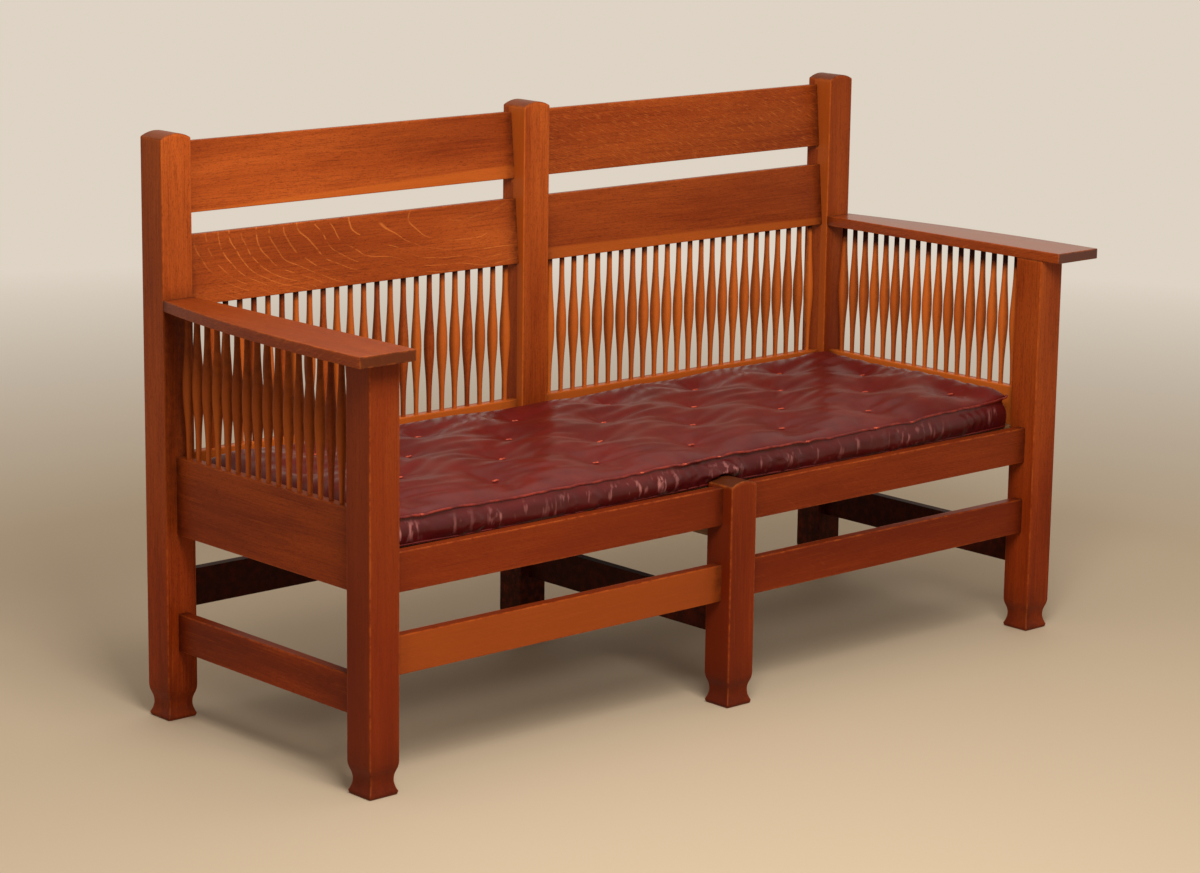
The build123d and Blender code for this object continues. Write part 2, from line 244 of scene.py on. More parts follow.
def grain_place(tree, grain):
    """Where a point is along the grain and across it, shifted so that no two pieces match."""
    place, board = object_place(tree), measure(tree, "board")
    axes = place.parts()
    turned = combine(tree, *(axes[axis] for axis in GRAIN_ORDER[grain]))
    moved = turned + combine(tree, board * 37.0, board * 11.0, board * 23.0)
    wander = noise(moved, (2.2, 9.0, 9.0), 1.0)
    return moved + combine(tree, 0.0, wander * 0.03, wander * 0.02), place, board


def oak_rays(tree, spot):
    """Quarter-sawn figure: on one board arcs in flat rings about a place near its top edge, wider
    apart near that place, and on other boards short slanting flecks."""
    along, across, up = spot.parts()
    run, drop = measure(tree, "run"), 1.0 - measure(tree, "rise")
    ring = run * run + drop * drop * 0.14
    bend = noise(spot, (8.0, 16.0, 16.0), 1.0) * 2.0
    ridge = abs((ring * 38.0 + bend) % 1.0 - 0.5) / (ring**0.5 + 0.3)
    breaks = noise(spot, (34.0, 70.0, 70.0))
    patches = noise(spot, (5.0, 12.0, 12.0), 1.0)
    broken = between(breaks, 0.4, 0.52) * between(patches, 0.34, 0.54)
    arc_share = between(ridge, 0.095, 0.02) * broken * measure(tree, "arcs")

    side = across + up
    slanted = combine(tree, along * 0.92 - side * 0.39, along * 0.39 + side * 0.92)
    chips = noise(slanted, (44.0, 560.0, 1.0), 1.5)
    fleck_share = between(chips, 0.56, 0.72, 0.0, 0.62) * measure(tree, "flecks")
    return arc_share.most(fleck_share)


def oak(tree, grain, polish=0.03):
    """Brown varnish over quarter-sawn oak: streaks, pores, pale rays across the grain, worn
    edges that have gone orange, and darkening by the floor, the joints and under the seat that
    is partly grime and partly painted shade. Painted light: the upper parts are a lighter
    orange than the lower ones, and faces marked pale get a pale wash."""
    spot, place, board = grain_place(tree, grain)
    height = place.parts()[2]
    broad = noise(spot, (2.6, 19.0, 19.0), 3.0)
    streak = noise(spot, (7.0, 390.0, 390.0), 2.5, 0.6)
    pore = noise(spot, (70.0, 1300.0, 1300.0), 1.0)
    speck = noise(spot, (240.0, 700.0, 700.0), 1.0)
    tone = noise(spot, (1.3, 5.0, 5.0), 1.0)
    scuff = noise(place, (70.0, 70.0, 70.0), 3.0, 0.65)
    pale = measure(tree, "pale")
    # Darker near the floor and by the mark read here: partly grime, partly painted shade at the joints,
    # under the seat, under the arm and on the spindles
    dirt_and_shade = between(height, 0.09, 0.0, 0.0, 0.6).most(measure(tree, "grime"))

    wood = between(broad, 0.3, 0.72)
    # Painted light: the wood is painted a lighter orange higher up and darker lower down
    painted_lit_orange = mingle(wood, seen(147, 61, 19), seen(184, 88, 33))
    deep = mingle(wood, seen(110, 36, 9), seen(156, 59, 15))
    color = paint(
        mingle(between(height, 0.25, 0.55), deep, painted_lit_orange),
        (between(tone, 0.54, 0.4, 0.0, 0.35), 100, 34, 10),
        (between(streak, 0.52, 0.76, 0.0, 0.54), 92, 32, 9),
        (between(streak, 0.46, 0.26, 0.0, 0.22), 202, 96, 30),
        (between(pore, 0.58, 0.72, 0.0, 0.5), 66, 20, 6),
        (between(speck, 0.56, 0.7, 0.0, 0.36), 78, 26, 8),
        # Painted light: a pale orange wash on lit faces of posts, rails and spindles
        (between(pale, 0.0, 0.03, 0.0, 0.5) + between(pale, 1.0, 2.0, 0.0, 0.35), 204, 104, 36),
        (board * 0.42, 102, 32, 10),
        (oak_rays(tree, spot) * 0.5, 220, 126, 56),
        (measure(tree, "end") * 0.65, 72, 34, 16),
        (measure(tree, "worn") * between(scuff, 0.38, 0.62) * 0.36, 206, 104, 38),
        (dirt_and_shade * between(scuff, 0.3, 0.7, 0.5, 1.0), 52, 18, 8),
    )
    return plain_surface(tree, {
        "Base Color": color, "Roughness": between(broad, 0.25, 0.75, 0.32, 0.42) + dirt_and_shade * 0.2,
        "Normal": bump(0.16, 0.0005, pore * -0.5 - streak * 0.7), "Specular IOR Level": 0.07,
        "Coat Weight": polish, "Coat Roughness": 0.22,
    })


def bare_board(tree, grain):
    """Bare sawn boards that carry the cushion, dusty and never varnished."""
    spot = grain_place(tree, grain)[0]
    broad = noise(spot, (1.4, 22.0, 22.0))
    streak = noise(spot, (8.0, 260.0, 260.0), 3.0, 0.6)
    saw = noise(spot, (420.0, 6.0, 6.0), 1.0)
    bare = mingle(between(broad, 0.3, 0.7), seen(112, 74, 42), seen(146, 104, 64))
    return plain_surface(tree, {
        "Base Color": paint(bare, (between(streak, 0.5, 0.75, 0.0, 0.6), 74, 46, 25)),
        "Roughness": between(broad, 0.2, 0.8, 0.62, 0.82),
        "Normal": bump(0.35, 0.0008, streak * 0.6 + saw * 0.5),
    })


def leather(tree):
    """Dark red leather with a soft gloss: fine creases, mottled dye, painted shade of deeper red round
    the ties and on its sides, pale streaks of painted highlight down its sides, and its welt rubbed pale in
    places."""
    place, side = object_place(tree), measure(tree, "side")
    mottle = noise(place, (9.0, 9.0, 9.0), 3.0, 0.6)
    cloud = noise(place, (42.0, 42.0, 42.0), 3.0, 0.6)
    # Painted highlights: thin upright pale streaks in patches on the sides
    upright = noise(place, (95.0, 95.0, 17.0), 2.0, 0.55)
    patches = noise(place, (9.0, 9.0, 3.0), 1.0)
    rubbed_and_glints = between(upright, 0.57, 0.70) * between(patches, 0.38, 0.6)
    color = paint(
        mingle(between(mottle, 0.35, 0.65), seen(84, 15, 14), seen(102, 22, 17)),
        (between(cloud, 0.45, 0.7, 0.0, 0.5), 74, 13, 14),
        # Painted shade: a deeper red in the dimples round the ties
        (measure(tree, "pull") * 0.7, 100, 12, 11),
        # Painted shade: the sides darker, most at their middle height
        (side * 0.6, 58, 6, 12),
        (rubbed_and_glints * side**3.0, 178, 112, 108),
        (measure(tree, "edge") * between(cloud, 0.42, 0.6), 132, 40, 27),
    )
    bent = place + noise(place, (30.0, 30.0, 30.0), 1.0, output="Color") * (0.02, 0.02, 0.02)
    grain = wire(
        tree, "ShaderNodeTexVoronoi", {"Vector": bent, "Scale": 420.0}, "Distance",
        feature="DISTANCE_TO_EDGE",
    )
    relief = between(grain, 0.0, 0.25) * 0.10 + noise(bent, (14.0, 60.0, 60.0)) * 0.6
    return plain_surface(tree, {
        "Base Color": color, "Roughness": between(cloud, 0.3, 0.7, 0.31, 0.37),
        "Normal": bump(0.2, 0.0014, relief), "Specular IOR Level": 0.34,
    })


def thread(tree):
    """Faded red thread."""
    fade = noise(object_place(tree), (160.0, 160.0, 160.0))
    color = mingle(between(fade, 0.35, 0.65), seen(152, 52, 34), seen(200, 84, 54))
    return plain_surface(tree, {"Base Color": color, "Roughness": 0.6})


ARM_POLISH = {"left": 0.1, "right": 0.6}
OAK = {grain: new_finish(f"oak_grain_{grain}", oak, grain) for grain in "xyz"}
ARM_OAK = {side: new_finish(f"oak_arm_{side}", oak, "y", polish) for side, polish in ARM_POLISH.items()}
BARE = {grain: new_finish(f"bare_board_grain_{grain}", bare_board, grain) for grain in "xy"}
LEATHER, THREAD = new_finish("red_leather", leather), new_finish("red_thread", thread)

# Floor, lamps and sky, in metres
BACKDROP = seen(222, 211, 196)
FLOOR_REACH = 40.0
FADE_START, FADE_END = 1.5, 4.4
LAMPS = (
    {"name": "lamp_front", "place": (-1.05, -1.7, 2.3), "target": (0, 0.15, 0.55), "size": 1.2,
     "power": 70.0},
    {"name": "lamp_above", "place": (0, -0.1, 3.0), "target": (0, 0.05, 0.5), "size": 2.0,
     "power": 12.0},
)


def plainly_seen(tree):
    """1 where the camera, a reflection or a view through glass looks, and 0 for the light."""
    looks = [
        wire(tree, "ShaderNodeLightPath", output=f"Is {ray} Ray")
        for ray in ("Camera", "Glossy", "Transmission")
    ]
    return looks[0].most(looks[1]).most(looks[2])


def pale_floor(tree):
    """A pale floor by the settle, which fades further off into the backdrop's even tone."""
    distance = wire(
        tree, "ShaderNodeVectorMath", {0: object_place(tree)}, "Value", operation="LENGTH"
    )
    return wire(tree, "ShaderNodeMixShader", {
        0: between(distance, FADE_START, FADE_END) * plainly_seen(tree),
        1: plain_surface(tree, {"Base Color": seen(196, 177, 151), "Roughness": 0.75}),
        2: wire(tree, "ShaderNodeEmission", {"Color": BACKDROP}),
    })


def sky(tree):
    """Soft light from all sides, in front of a plain backdrop."""
    return wire(tree, "ShaderNodeMixShader", {
        0: plainly_seen(tree),
        1: wire(tree, "ShaderNodeBackground", {"Color": seen(238, 228, 214), "Strength": 0.46}),
        2: wire(tree, "ShaderNodeBackground", {"Color": BACKDROP}),
    })


def set_lamp(name, place, target, size, power):
    light = bpy.data.lights.new(name, "AREA")
    light.shape = "SQUARE"
    light.size = size
    light.energy = power
    light.color = (1.0, 0.955, 0.89)
    turn = (Vector(target) - Vector(place)).to_track_quat("-Z", "Y")
    new_piece(name, light).matrix_world = Matrix.Translation(place) @ turn.to_matrix().to_4x4()


def set_stage():
    """A plain pale floor, and the lamps and sky that light the settle."""
    mesh = bpy.data.meshes.new("floor")
    corners = [(FLOOR_REACH * x, FLOOR_REACH * y, 0) for x, y in ((-1, -1), (1, -1), (1, 1), (-1, 1))]
    mesh.from_pydata(corners, [], [(0, 1, 2, 3)])
    mesh.materials.append(new_finish("pale_floor", pale_floor))
    floor = new_piece("floor", mesh)
    scene.world = give_surface(bpy.data.worlds.new("sky"), "ShaderNodeOutputWorld", sky)
    for lamp in LAMPS:
        set_lamp(**lamp)
    scene.view_settings.view_transform = "Standard"


# Worked timber

def rule_off(low, high, step, ease=EASE):
    """Where a face is ruled: close together by its two edges, and evenly between them."""
    rim = np.array([0.0, 0.3 * ease, ease, WORN_WIDTH])
    inner_low, inner_high = low + WORN_WIDTH, high - WORN_WIDTH
    count = max(int(round((inner_high - inner_low) / step)), 1)
    middle = np.linspace(inner_low, inner_high, count + 1)[1:-1]
    return np.concatenate([low + rim, middle, high - rim[::-1]])


def ruled_block(rulings):
    """Points and outward quads of a closed block whose faces are ruled at these places."""
    grid = np.stack(np.meshgrid(*rulings, indexing="ij"), -1)
    shell = np.zeros(grid.shape[:3], bool)
    shell[[0, -1]] = True
    shell[:, [0, -1]] = True
    shell[:, :, [0, -1]] = True
    numbers = -np.ones(shell.shape, int)
    numbers[shell] = np.arange(shell.sum())
    quads = []
    for axis in range(3):
        layers = np.moveaxis(numbers, axis, 0)
        for end in (0, -1):
            n = layers[end]
            faces = np.stack([n[:-1, :-1], n[1:, :-1], n[1:, 1:], n[:-1, 1:]], -1).reshape(-1, 4)
            quads.append(faces[:, ::-1] if (end == 0) != (axis == 1) else faces)
    return grid[shell], np.concatenate(quads)


def wear(reach):
    """How worn points are, from how far each is in from the faces: edges wear, faces don't."""
    return np.clip(1 - np.sort(reach, axis=1)[:, 1] / WORN_WIDTH, 0, 1)


def round_edges(points, low, high, ease, buried=()):
    """Draws a block's points near its edges onto rounds, but not at its buried ends."""
    inset = np.array([0 if axis in buried else ease for axis in range(3)])
    core = np.clip(points, low + inset, high - inset)
    away = points - core
    length = np.linalg.norm(away, axis=1)
    out = length > 1e-6
    points[out] = core[out] + away[out] / length[out, None] * ease


def eased_block(low, high, steps, buried=()):
    """A block with softly rounded edges, its wear, and its grime and painted shade. Ends along the
    buried axes go into other pieces, so they stay sharp, and grime and painted shade gather where they go
    in."""
    low, high = np.array(low, float), np.array(high, float)
    points, quads = ruled_block([rule_off(*sizes) for sizes in zip(low, high, steps)])
    reach = np.minimum(points - low, high - points)
    grime = np.zeros(len(points))
    for axis in buried:
        inside = np.maximum(reach[:, axis] - HIDDEN_END, 0)
        grime = np.maximum(grime, np.exp(-inside / JOINT_GRIME_AND_SHADE_REACH) ** 2)
        reach[:, axis] = np.inf
    round_edges(points, low, high, EASE, buried)
    return points, quads, wear(reach), grime


rng = np.random.default_rng(11)


def give(mesh, facts):
    """Writes numbers for each point into the mesh, under the names that its finish reads."""
    for fact, values in facts.items():
        layer = mesh.attributes.new(fact, "FLOAT", "POINT")
        layer.data.foreach_set("value", np.broadcast_to(values, len(mesh.vertices)).astype(np.float32))


def new_mesh(name, points, edges, faces):
    """A mesh from points in millimetres."""
    mesh = bpy.data.meshes.new(name)
    mesh.from_pydata((points * METRES).tolist(), edges, faces)
    return mesh


def timber(name, points, quads, finish, tone, **marks):
    """A finished oak piece, with the marks that its finish reads."""
    mesh = new_mesh(name, points, [], quads.tolist())
    give(mesh, marks | {"board": tone + rng.uniform(-0.04, 0.04)})
    mesh.materials.append(finish)
    mesh.shade_smooth()
    return new_piece(name, mesh)


def fit(piece, node):
    """Rides an oak piece on the frame in place of its plain solid."""
    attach(piece, "frame")
    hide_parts(node)


# Boards

BOARD_STEPS = (22, 8, 16)
# How far along a board the middle of its ringed figure is
RING_SHARE = 0.92
# The looks of boards under the seat that the light hardly reaches: painted shade, in a dark tone and all
# over
SHADED = {"tone": 2.2, "under_seat_shade": 1.2}
# A pale strip is painted light on a board's front face
BOARD_LOOKS = {
    "front_seat_rail_left": {"tone": 1.6, "flecks": 0.12},
    "front_seat_rail_right": {"tone": 1.2, "flecks": 0.12},
    "front_stretcher_left": {"tone": 1.1, "flecks": 0.12, "pale_strip": (1.0, 1.0)},
    "front_stretcher_right": {"tone": 1.4, "flecks": 0.12},
    "back_stretcher_left": SHADED,
    "back_stretcher_right": SHADED,
    "side_stretcher_right": SHADED,
    "center_stretcher": SHADED,
    "back_slat_left": {"tone": 0.4, "arcs": 1.0},
    "back_slat_right": {"tone": 0.45, "flecks": 0.15, "pale_strip": (0.2, 0.13)},
    "crest_rail_left": {"tone": 0.15, "flecks": 0.1, "pale_strip": (0.03, 0.22)},
    "crest_rail_right": {"tone": 0.3, "flecks": 1.0},
    "back_seat_rail_left": {"tone": 0.0, "pale_strip": (2.0, 2.0)},
    "back_seat_rail_right": {"tone": 0.0, "pale_strip": (2.0, 2.0)},
    "side_seat_rail_right": {"tone": 0.0, "pale_strip": (3.0, 3.0)},
}
PLAIN_LOOK = {"tone": 0.4, "flecks": 0.12}


def make_board(node, along, start, length, middle, bottom, height, lean=0.0):
    """A rail, slat or stretcher between two posts, in its own look."""
    half = BOARD_THICKNESS / 2
    points, quads, worn, grime = eased_block(
        (-HIDDEN_END, -half, 0), (length + HIDDEN_END, half, height), BOARD_STEPS, buried=(0,)
    )
    run, across, up = points.T
    marks = board_marks(run / length, across, up / height, **BOARD_LOOKS.get(node, PLAIN_LOOK))
    marks["grime"] = np.maximum(grime, marks["grime"])
    out = across * cos(lean) + up * sin(lean)
    upright = up * cos(lean) - across * sin(lean)
    placed = np.stack([start + run, middle + out, bottom + upright], -1)
    if along == "y":
        placed, quads = placed[:, [1, 0, 2]], quads[:, ::-1]
    ringed = (run - RING_SHARE * length) * METRES
    fit(timber(f"oak_{node}", placed, quads, OAK[along], worn=worn, run=ringed, **marks), node)


def board_marks(run, across, rise, under_seat_shade=0.0, pale_strip=(-1.0, -1.0), **marks):
    """A board's tone, arcs and flecks, how much painted shade it has all over, and how far up the
    pale strip of painted light along the lower edge of its front reaches at its two ends, as shares of its
    height."""
    left, right = pale_strip
    pale = np.where(across > 0, -1.0, left + (right - left) * run - rise)
    return marks | {"grime": under_seat_shade, "rise": rise, "pale": pale}


# Posts

POST_EASE, POST_STEP, SHAFT_STEP = 1.8, 6.0, 34.0
CROWN_DEPTH = 24.0
# How far a foot's base, lip and neck stand in from the post's faces, and where they are
FOOT_TOP, NECK_HEIGHT, LIP_HEIGHT = 54.0, 24.5, 6.0
NECK_INSET, LIP_INSET, BASE_INSET = 6.0, 1.0, 3.0
FOOT_RULINGS = (
    0, 0.5, 1.6, 3.2, 4.8, 6.2, 9.5, 13, 16.5, 20, 23, 26, 29, 32, 35, 38, 41, 44, 47, 50.5, FOOT_TOP
)
TOP_RULINGS = np.array([CROWN_DEPTH, 16, 8, 5, 1.6, 0.5, 0])
# Where the painted shade under the seat ends, and the painted shadow below the arm, by height
SEAT_LEVEL, UNDER_SEAT_SHADE_FADE = 330.0, 30.0
UNDER_ARM_LEVELS, UNDER_ARM_SHADOW = (300, 330, 560, 676, 694), (0, 0.6, 0.75, 1, 0)
# How far back the painted light on a post's left face reaches, and how softly it stops
PALE_DEPTH, PALE_FADE = 14.5, 3.0
# Per post: tones, painted light on the left face, painted shade under the seat, and the arm's painted
# shadow
POST_LOOKS = {
    "front_post_left": {"tone": 1.5, "left_tone": 1.5},
    "front_post_right": {"tone": 0.3, "left_tone": 0.6},
    "front_post_center": {"tone": 1.1, "left_tone": 2.0},
    "rear_post_left": {"tone": 0.0, "left_tone": 0.0, "arm_shadow": 0.85, "end_mark": 0.85},
    "rear_post_right": {"tone": 0.8, "left_tone": 0.7, "pale": 1.0, "under_seat_shade": 1.2, "end_mark": 0.85},
    "rear_post_center": {"tone": 0.1, "left_tone": 0.5, "pale": 1.4, "under_seat_shade": 1.2, "end_mark": 0.85},
}


def sagitta_radius(sag, run):
    """The radius of an arc that falls away by this sag over this run from its flat point."""
    return (sag**2 + run**2) / (2 * sag)


def foot_half_width(height):
    """Half the width of a post's foot: base, lip, hollow neck and swell into the shaft."""
    half = POST / 2
    if height >= FOOT_TOP:
        return half
    if height <= LIP_HEIGHT:
        return half - BASE_INSET + (BASE_INSET - LIP_INSET) * sin(pi / 2 * height / LIP_HEIGHT)
    cove = sagitta_radius(NECK_INSET - LIP_INSET, NECK_HEIGHT - LIP_HEIGHT)
    swell = sagitta_radius(NECK_INSET, FOOT_TOP - NECK_HEIGHT) - cove
    cove_center = Vector((half - NECK_INSET + cove, NECK_HEIGHT))
    swell_center = Vector((half - swell, FOOT_TOP))
    turn = cove_center + (swell_center - cove_center) * (cove / (cove + swell))
    if height <= turn.y:
        return cove_center.x - sqrt(cove**2 - (height - cove_center.y) ** 2)
    return swell_center.x + sqrt(swell**2 - (height - swell_center.y) ** 2)


def post_marks(points, top, tone, left_tone, pale=0.0, under_seat_shade=0.0, arm_shadow=0.0, end_mark=1.35):
    """A post's tone, with another on its left face. That face can carry painted light as far back as the
    boards that meet it. The post can carry painted shade under the seat, and a painted shadow below the
    arm."""
    x, y, z = points.T
    half = POST / 2
    on_left = np.clip(1 - (x + half) / POST_EASE, 0, 1)
    above = np.clip((z - SEAT_LEVEL) / UNDER_SEAT_SHADE_FADE, 0, 1)
    behind = y + half - np.maximum(z - ARM_UNDERSIDE, 0) * tan(BACK_LEAN)
    # Painted light on the left face, only in front of where the boards shade it
    paled = pale * np.clip((PALE_DEPTH - behind) / PALE_FADE, 0, 1) * above
    in_front = y < POST_EASE - half
    # The arm's painted shadow down the front face
    under_arm = in_front * np.interp(z, UNDER_ARM_LEVELS, UNDER_ARM_SHADOW)
    reach = np.minimum(points - (-half, -half, 0), (half, half, top) - points)
    return {
        "tone": tone + (left_tone - tone) * on_left, "pale": (1 + paled) * on_left - 1,
        "grime": np.maximum(under_seat_shade * (1 - above), arm_shadow * under_arm),
        "worn": wear(reach) * np.where(z < FOOT_TOP, 1.5, 1.0),
        "end": end_mark * (z > top - END_GRAIN_DEPTH),
    }


def make_post(node, x, y, top, crown=0.0):
    """A square post with its shaped foot, and a flat or curved top."""
    half = POST / 2
    ruled = rule_off(-half, half, POST_STEP, POST_EASE)
    shaft = np.linspace(FOOT_TOP, top - SHAFT_STEP, int((top - FOOT_TOP) / SHAFT_STEP) + 1)[1:]
    points, quads = ruled_block([ruled, ruled, np.concatenate([FOOT_RULINGS, shaft, top - TOP_RULINGS])])
    marks = post_marks(points, top, **POST_LOOKS[node])
    round_edges(points, np.array([-half, -half, 0]), np.array([half, half, top]), POST_EASE)
    points[:, :2] *= np.array([foot_half_width(height) for height in points[:, 2]])[:, None] / half
    if crown:
        radius = sagitta_radius(crown, half)
        arc = np.sqrt(radius**2 - np.clip(points[:, 0], -half, half) ** 2) - (radius - crown)
        points[:, 2] += arc * np.clip((points[:, 2] - top) / CROWN_DEPTH + 1, 0, 1)
    fit(timber(f"oak_{node}", points + (x, y, 0), quads, OAK["z"], **marks), node)


# Arms

ARM_OVERHANG_SIDE, ARM_OVERHANG_FRONT, ARM_STRAIGHT = 48.0, 39.0, 80.0
ARM_STEPS = (9, 18, 9)
ARM_INNER, ARM_REAR_OUTER = END_POST_X - POST / 2, LENGTH_OVER_POSTS / 2
ARM_OUTER = ARM_REAR_OUTER + ARM_OVERHANG_SIDE
ARM_FRONT = FRONT_POST_Y - POST / 2 - ARM_OVERHANG_FRONT
ARM_STRAIGHT_END = ARM_FRONT + ARM_STRAIGHT
ARM_TONE = {"left": 0.6, "right": 1.2}
ARM_FLECKS, ARM_END_MARK, ARM_GRIME, ARM_GRIME_REACH = 0.6, 1.3, 1.3, 6.0


def make_arm(side, sign):
    """A flat arm, straight inside and drawn in by a long curve to the rear post."""
    broad = ARM_OUTER - ARM_INNER
    points, quads, worn, _ = eased_block(
        (0, ARM_FRONT, ARM_UNDERSIDE), (broad, REAR_POST_FRONT, ARM_UNDERSIDE + ARM_THICKNESS),
        ARM_STEPS,
    )
    span = REAR_POST_FRONT - ARM_STRAIGHT_END
    radius = sagitta_radius(ARM_OUTER - ARM_REAR_OUTER, span)
    past = np.clip(points[:, 1] - ARM_STRAIGHT_END, 0, span)
    outer = ARM_OUTER - radius + np.sqrt(radius**2 - past**2)
    points[:, 0] = sign * (ARM_INNER + points[:, 0] / broad * (outer - ARM_INNER))
    if sign < 0:
        quads = quads[:, ::-1]
    fit(timber(
        f"oak_arm_{side}", points, quads, ARM_OAK[side], ARM_TONE[side], worn=worn, flecks=ARM_FLECKS,
        grime=ARM_GRIME * np.exp((points[:, 1] - REAR_POST_FRONT) / ARM_GRIME_REACH),
        end=ARM_END_MARK * (points[:, 1] < ARM_FRONT + END_GRAIN_DEPTH),
    ), f"arm_{side}")


def make_frame():
    """Every rail, slat, stretcher, post and arm."""
    long_boards = {
        "front_stretcher": (FRONT_BOARD_Y, STRETCHER_BOTTOM, STRETCHER_HEIGHT),
        "back_stretcher": (REAR_POST_Y, STRETCHER_BOTTOM, STRETCHER_HEIGHT),
        "front_seat_rail": (FRONT_BOARD_Y, SEAT_RAIL_BOTTOM, FRONT_RAIL_HEIGHT),
        "back_seat_rail": (BACK_BOARD_Y, SEAT_RAIL_BOTTOM, SEAT_RAIL_HEIGHT),
        "back_slat": (BACK_BOARD_Y, ARM_UNDERSIDE, SLAT_HEIGHT, BACK_LEAN),
        "crest_rail": (CREST_Y, CREST_BOTTOM, CREST_HEIGHT, BACK_LEAN),
    }
    cross_boards = {
        "side_stretcher": (SIDE_STRETCHER_BOTTOM, STRETCHER_HEIGHT),
        "side_seat_rail": (SEAT_RAIL_BOTTOM, SEAT_RAIL_HEIGHT),
    }
    for side, sign in SIDES.items():
        start = sign * BAY_MIDDLE - BAY_LENGTH / 2
        for board, section in long_boards.items():
            make_board(f"{board}_{side}", "x", start, BAY_LENGTH, *section)
        middle = sign * SIDE_BOARD_X
        for board, section in cross_boards.items():
            make_board(f"{board}_{side}", "y", FRONT_POST_BACK, SIDE_LENGTH, middle, *section)
        make_post(f"front_post_{side}", sign * END_POST_X, FRONT_POST_Y, ARM_UNDERSIDE)
        make_post(f"rear_post_{side}", sign * END_POST_X, REAR_POST_Y, REAR_POST_TOP, CROWN)
        make_arm(side, sign)
    middle_board = (0, *cross_boards["side_stretcher"])
    make_board("center_stretcher", "y", FRONT_POST_BACK, SIDE_LENGTH, *middle_board)
    make_post("front_post_center", 0, FRONT_POST_Y, CENTER_POST_TOP, CROWN)
    make_post("rear_post_center", 0, REAR_POST_Y, REAR_POST_TOP, CROWN)


# Geometry trees

def tree_with_inputs(name, **inputs):
    """A geometry tree, and its finish and its named inputs of each kind."""
    tree = bpy.data.node_groups.new(name, "GeometryNodeTree")
    tree.is_modifier = True
    for kind, labels in (inputs | {"Material": ("Finish",)}).items():
        for label in labels:
            tree.interface.new_socket(name=label, in_out="INPUT", socket_type=f"NodeSocket{kind}")
    tree.interface.new_socket(name="Geometry", in_out="OUTPUT", socket_type="NodeSocketGeometry")
    entry = add_node(tree, "NodeGroupInput").outputs
    return tree, {socket.name: Wire(tree, socket) for socket in entry if socket.name}


def close_tree(shape, finish):
    """Realizes a shape's instances, gives it its finish and hands it out."""
    real = wire(shape.tree, "GeometryNodeRealizeInstances", {0: shape})
    dressed = wire(shape.tree, "GeometryNodeSetMaterial", {"Geometry": real, "Material": finish})
    add_node(shape.tree, "NodeGroupOutput", {0: dressed})
    return shape.tree


def finished(piece):
    """The piece with what its modifiers make as its plain mesh."""
    graph = bpy.context.evaluated_depsgraph_get()
    made = bpy.data.meshes.new_from_object(piece.evaluated_get(graph))
    piece.modifiers.clear()
    piece.data = made
    made.name = piece.name
    return piece


def plain_mesh(name, tree, values, source=None):
    """A piece that a tree makes from these values, on the source's points if it has one."""
    piece = new_piece(name, source or bpy.data.meshes.new(name))
    modifier = piece.modifiers.new(name, "NODES")
    modifier.node_group = tree
    for item in tree.interface.items_tree:
        if item.name in values:
            modifier[item.identifier] = values[item.name]
    bpy.context.view_layer.update()
    return finished(piece)


def scattered(seed, low, high):
    """A random number for each point, always the same for one seed."""
    return wire(
        seed.tree, "FunctionNodeRandomValue", {2: low, 3: high, "Seed": seed}, 1, data_type="FLOAT"
    )


def rotation(tree, x=0.0, y=0.0, z=0.0):
    return wire(tree, "FunctionNodeEulerToRotation", {0: combine(tree, x, y, z)})


def store(shape, name, value, domain="POINT"):
    """The shape with a named number on each point or instance."""
    inputs = {"Geometry": shape, "Name": name, "Value": value}
    return wire(
        shape.tree, "GeometryNodeStoreNamedAttribute", inputs, data_type="FLOAT", domain=domain
    )


def smoothed(shape):
    return wire(shape.tree, "GeometryNodeSetShadeSmooth", {0: shape})


def rod(line, sides, radius, width, caps=False):
    """A rod along a line, as many times its radius at each point as the width says."""
    ring = wire(line.tree, "GeometryNodeCurvePrimitiveCircle", {"Resolution": sides, "Radius": radius})
    return wire(line.tree, "GeometryNodeCurveToMesh", {
        "Curve": line, "Profile Curve": ring, "Scale": width, "Fill Caps": caps,
    })


def set_out(points, shape, **inputs):
    """The shape as an instance at each point."""
    return wire(shape.tree, "GeometryNodeInstanceOnPoints", {"Points": points, "Instance": shape, **inputs})


# Spindles

# Shares of a spindle's length from its foot, and its width there as a share of the belly's
SPINDLE_SHARES = (
    (0.0, 0.44), (0.05, 0.45), (0.145, 0.495), (0.26, 0.642), (0.375, 0.874), (0.43, 0.965),
    (0.49, 1.0), (0.545, 0.965), (0.605, 0.874), (0.72, 0.674), (0.835, 0.526), (0.95, 0.484),
    (1.0, 0.484),
)
SPINDLE_RINGS, SPINDLE_SIDES = 27, 14
BELLY_RADIUS = 9.4
SPINDLE_INSET, SPINDLE_HIDDEN_END = 22.6, 3.0
SPINDLE_COUNTS = {"back": 24, "side": 17}
SPINDLE_SEEDS = {"back": 3, "side": 7}
# Per row: tone, painted shade towards the top, paleness that is partly painted light, and how far the
# painted shadow at the top reaches
SPINDLE_LOOKS = {
    "back_spindles_left": {"Tone": 0.1, "Shade": 0.0, "Paleness": -0.5, "Dark Top": 0.06},
    "back_spindles_right": {"Tone": 0.0, "Shade": 0.0, "Paleness": 0.0, "Dark Top": 0.06},
    "side_spindles_left": {"Tone": 0.3, "Shade": 0.65, "Paleness": -0.4, "Dark Top": 0.08},
    "side_spindles_right": {"Tone": 0.0, "Shade": 0.0, "Paleness": 0.2, "Dark Top": 0.17},
}


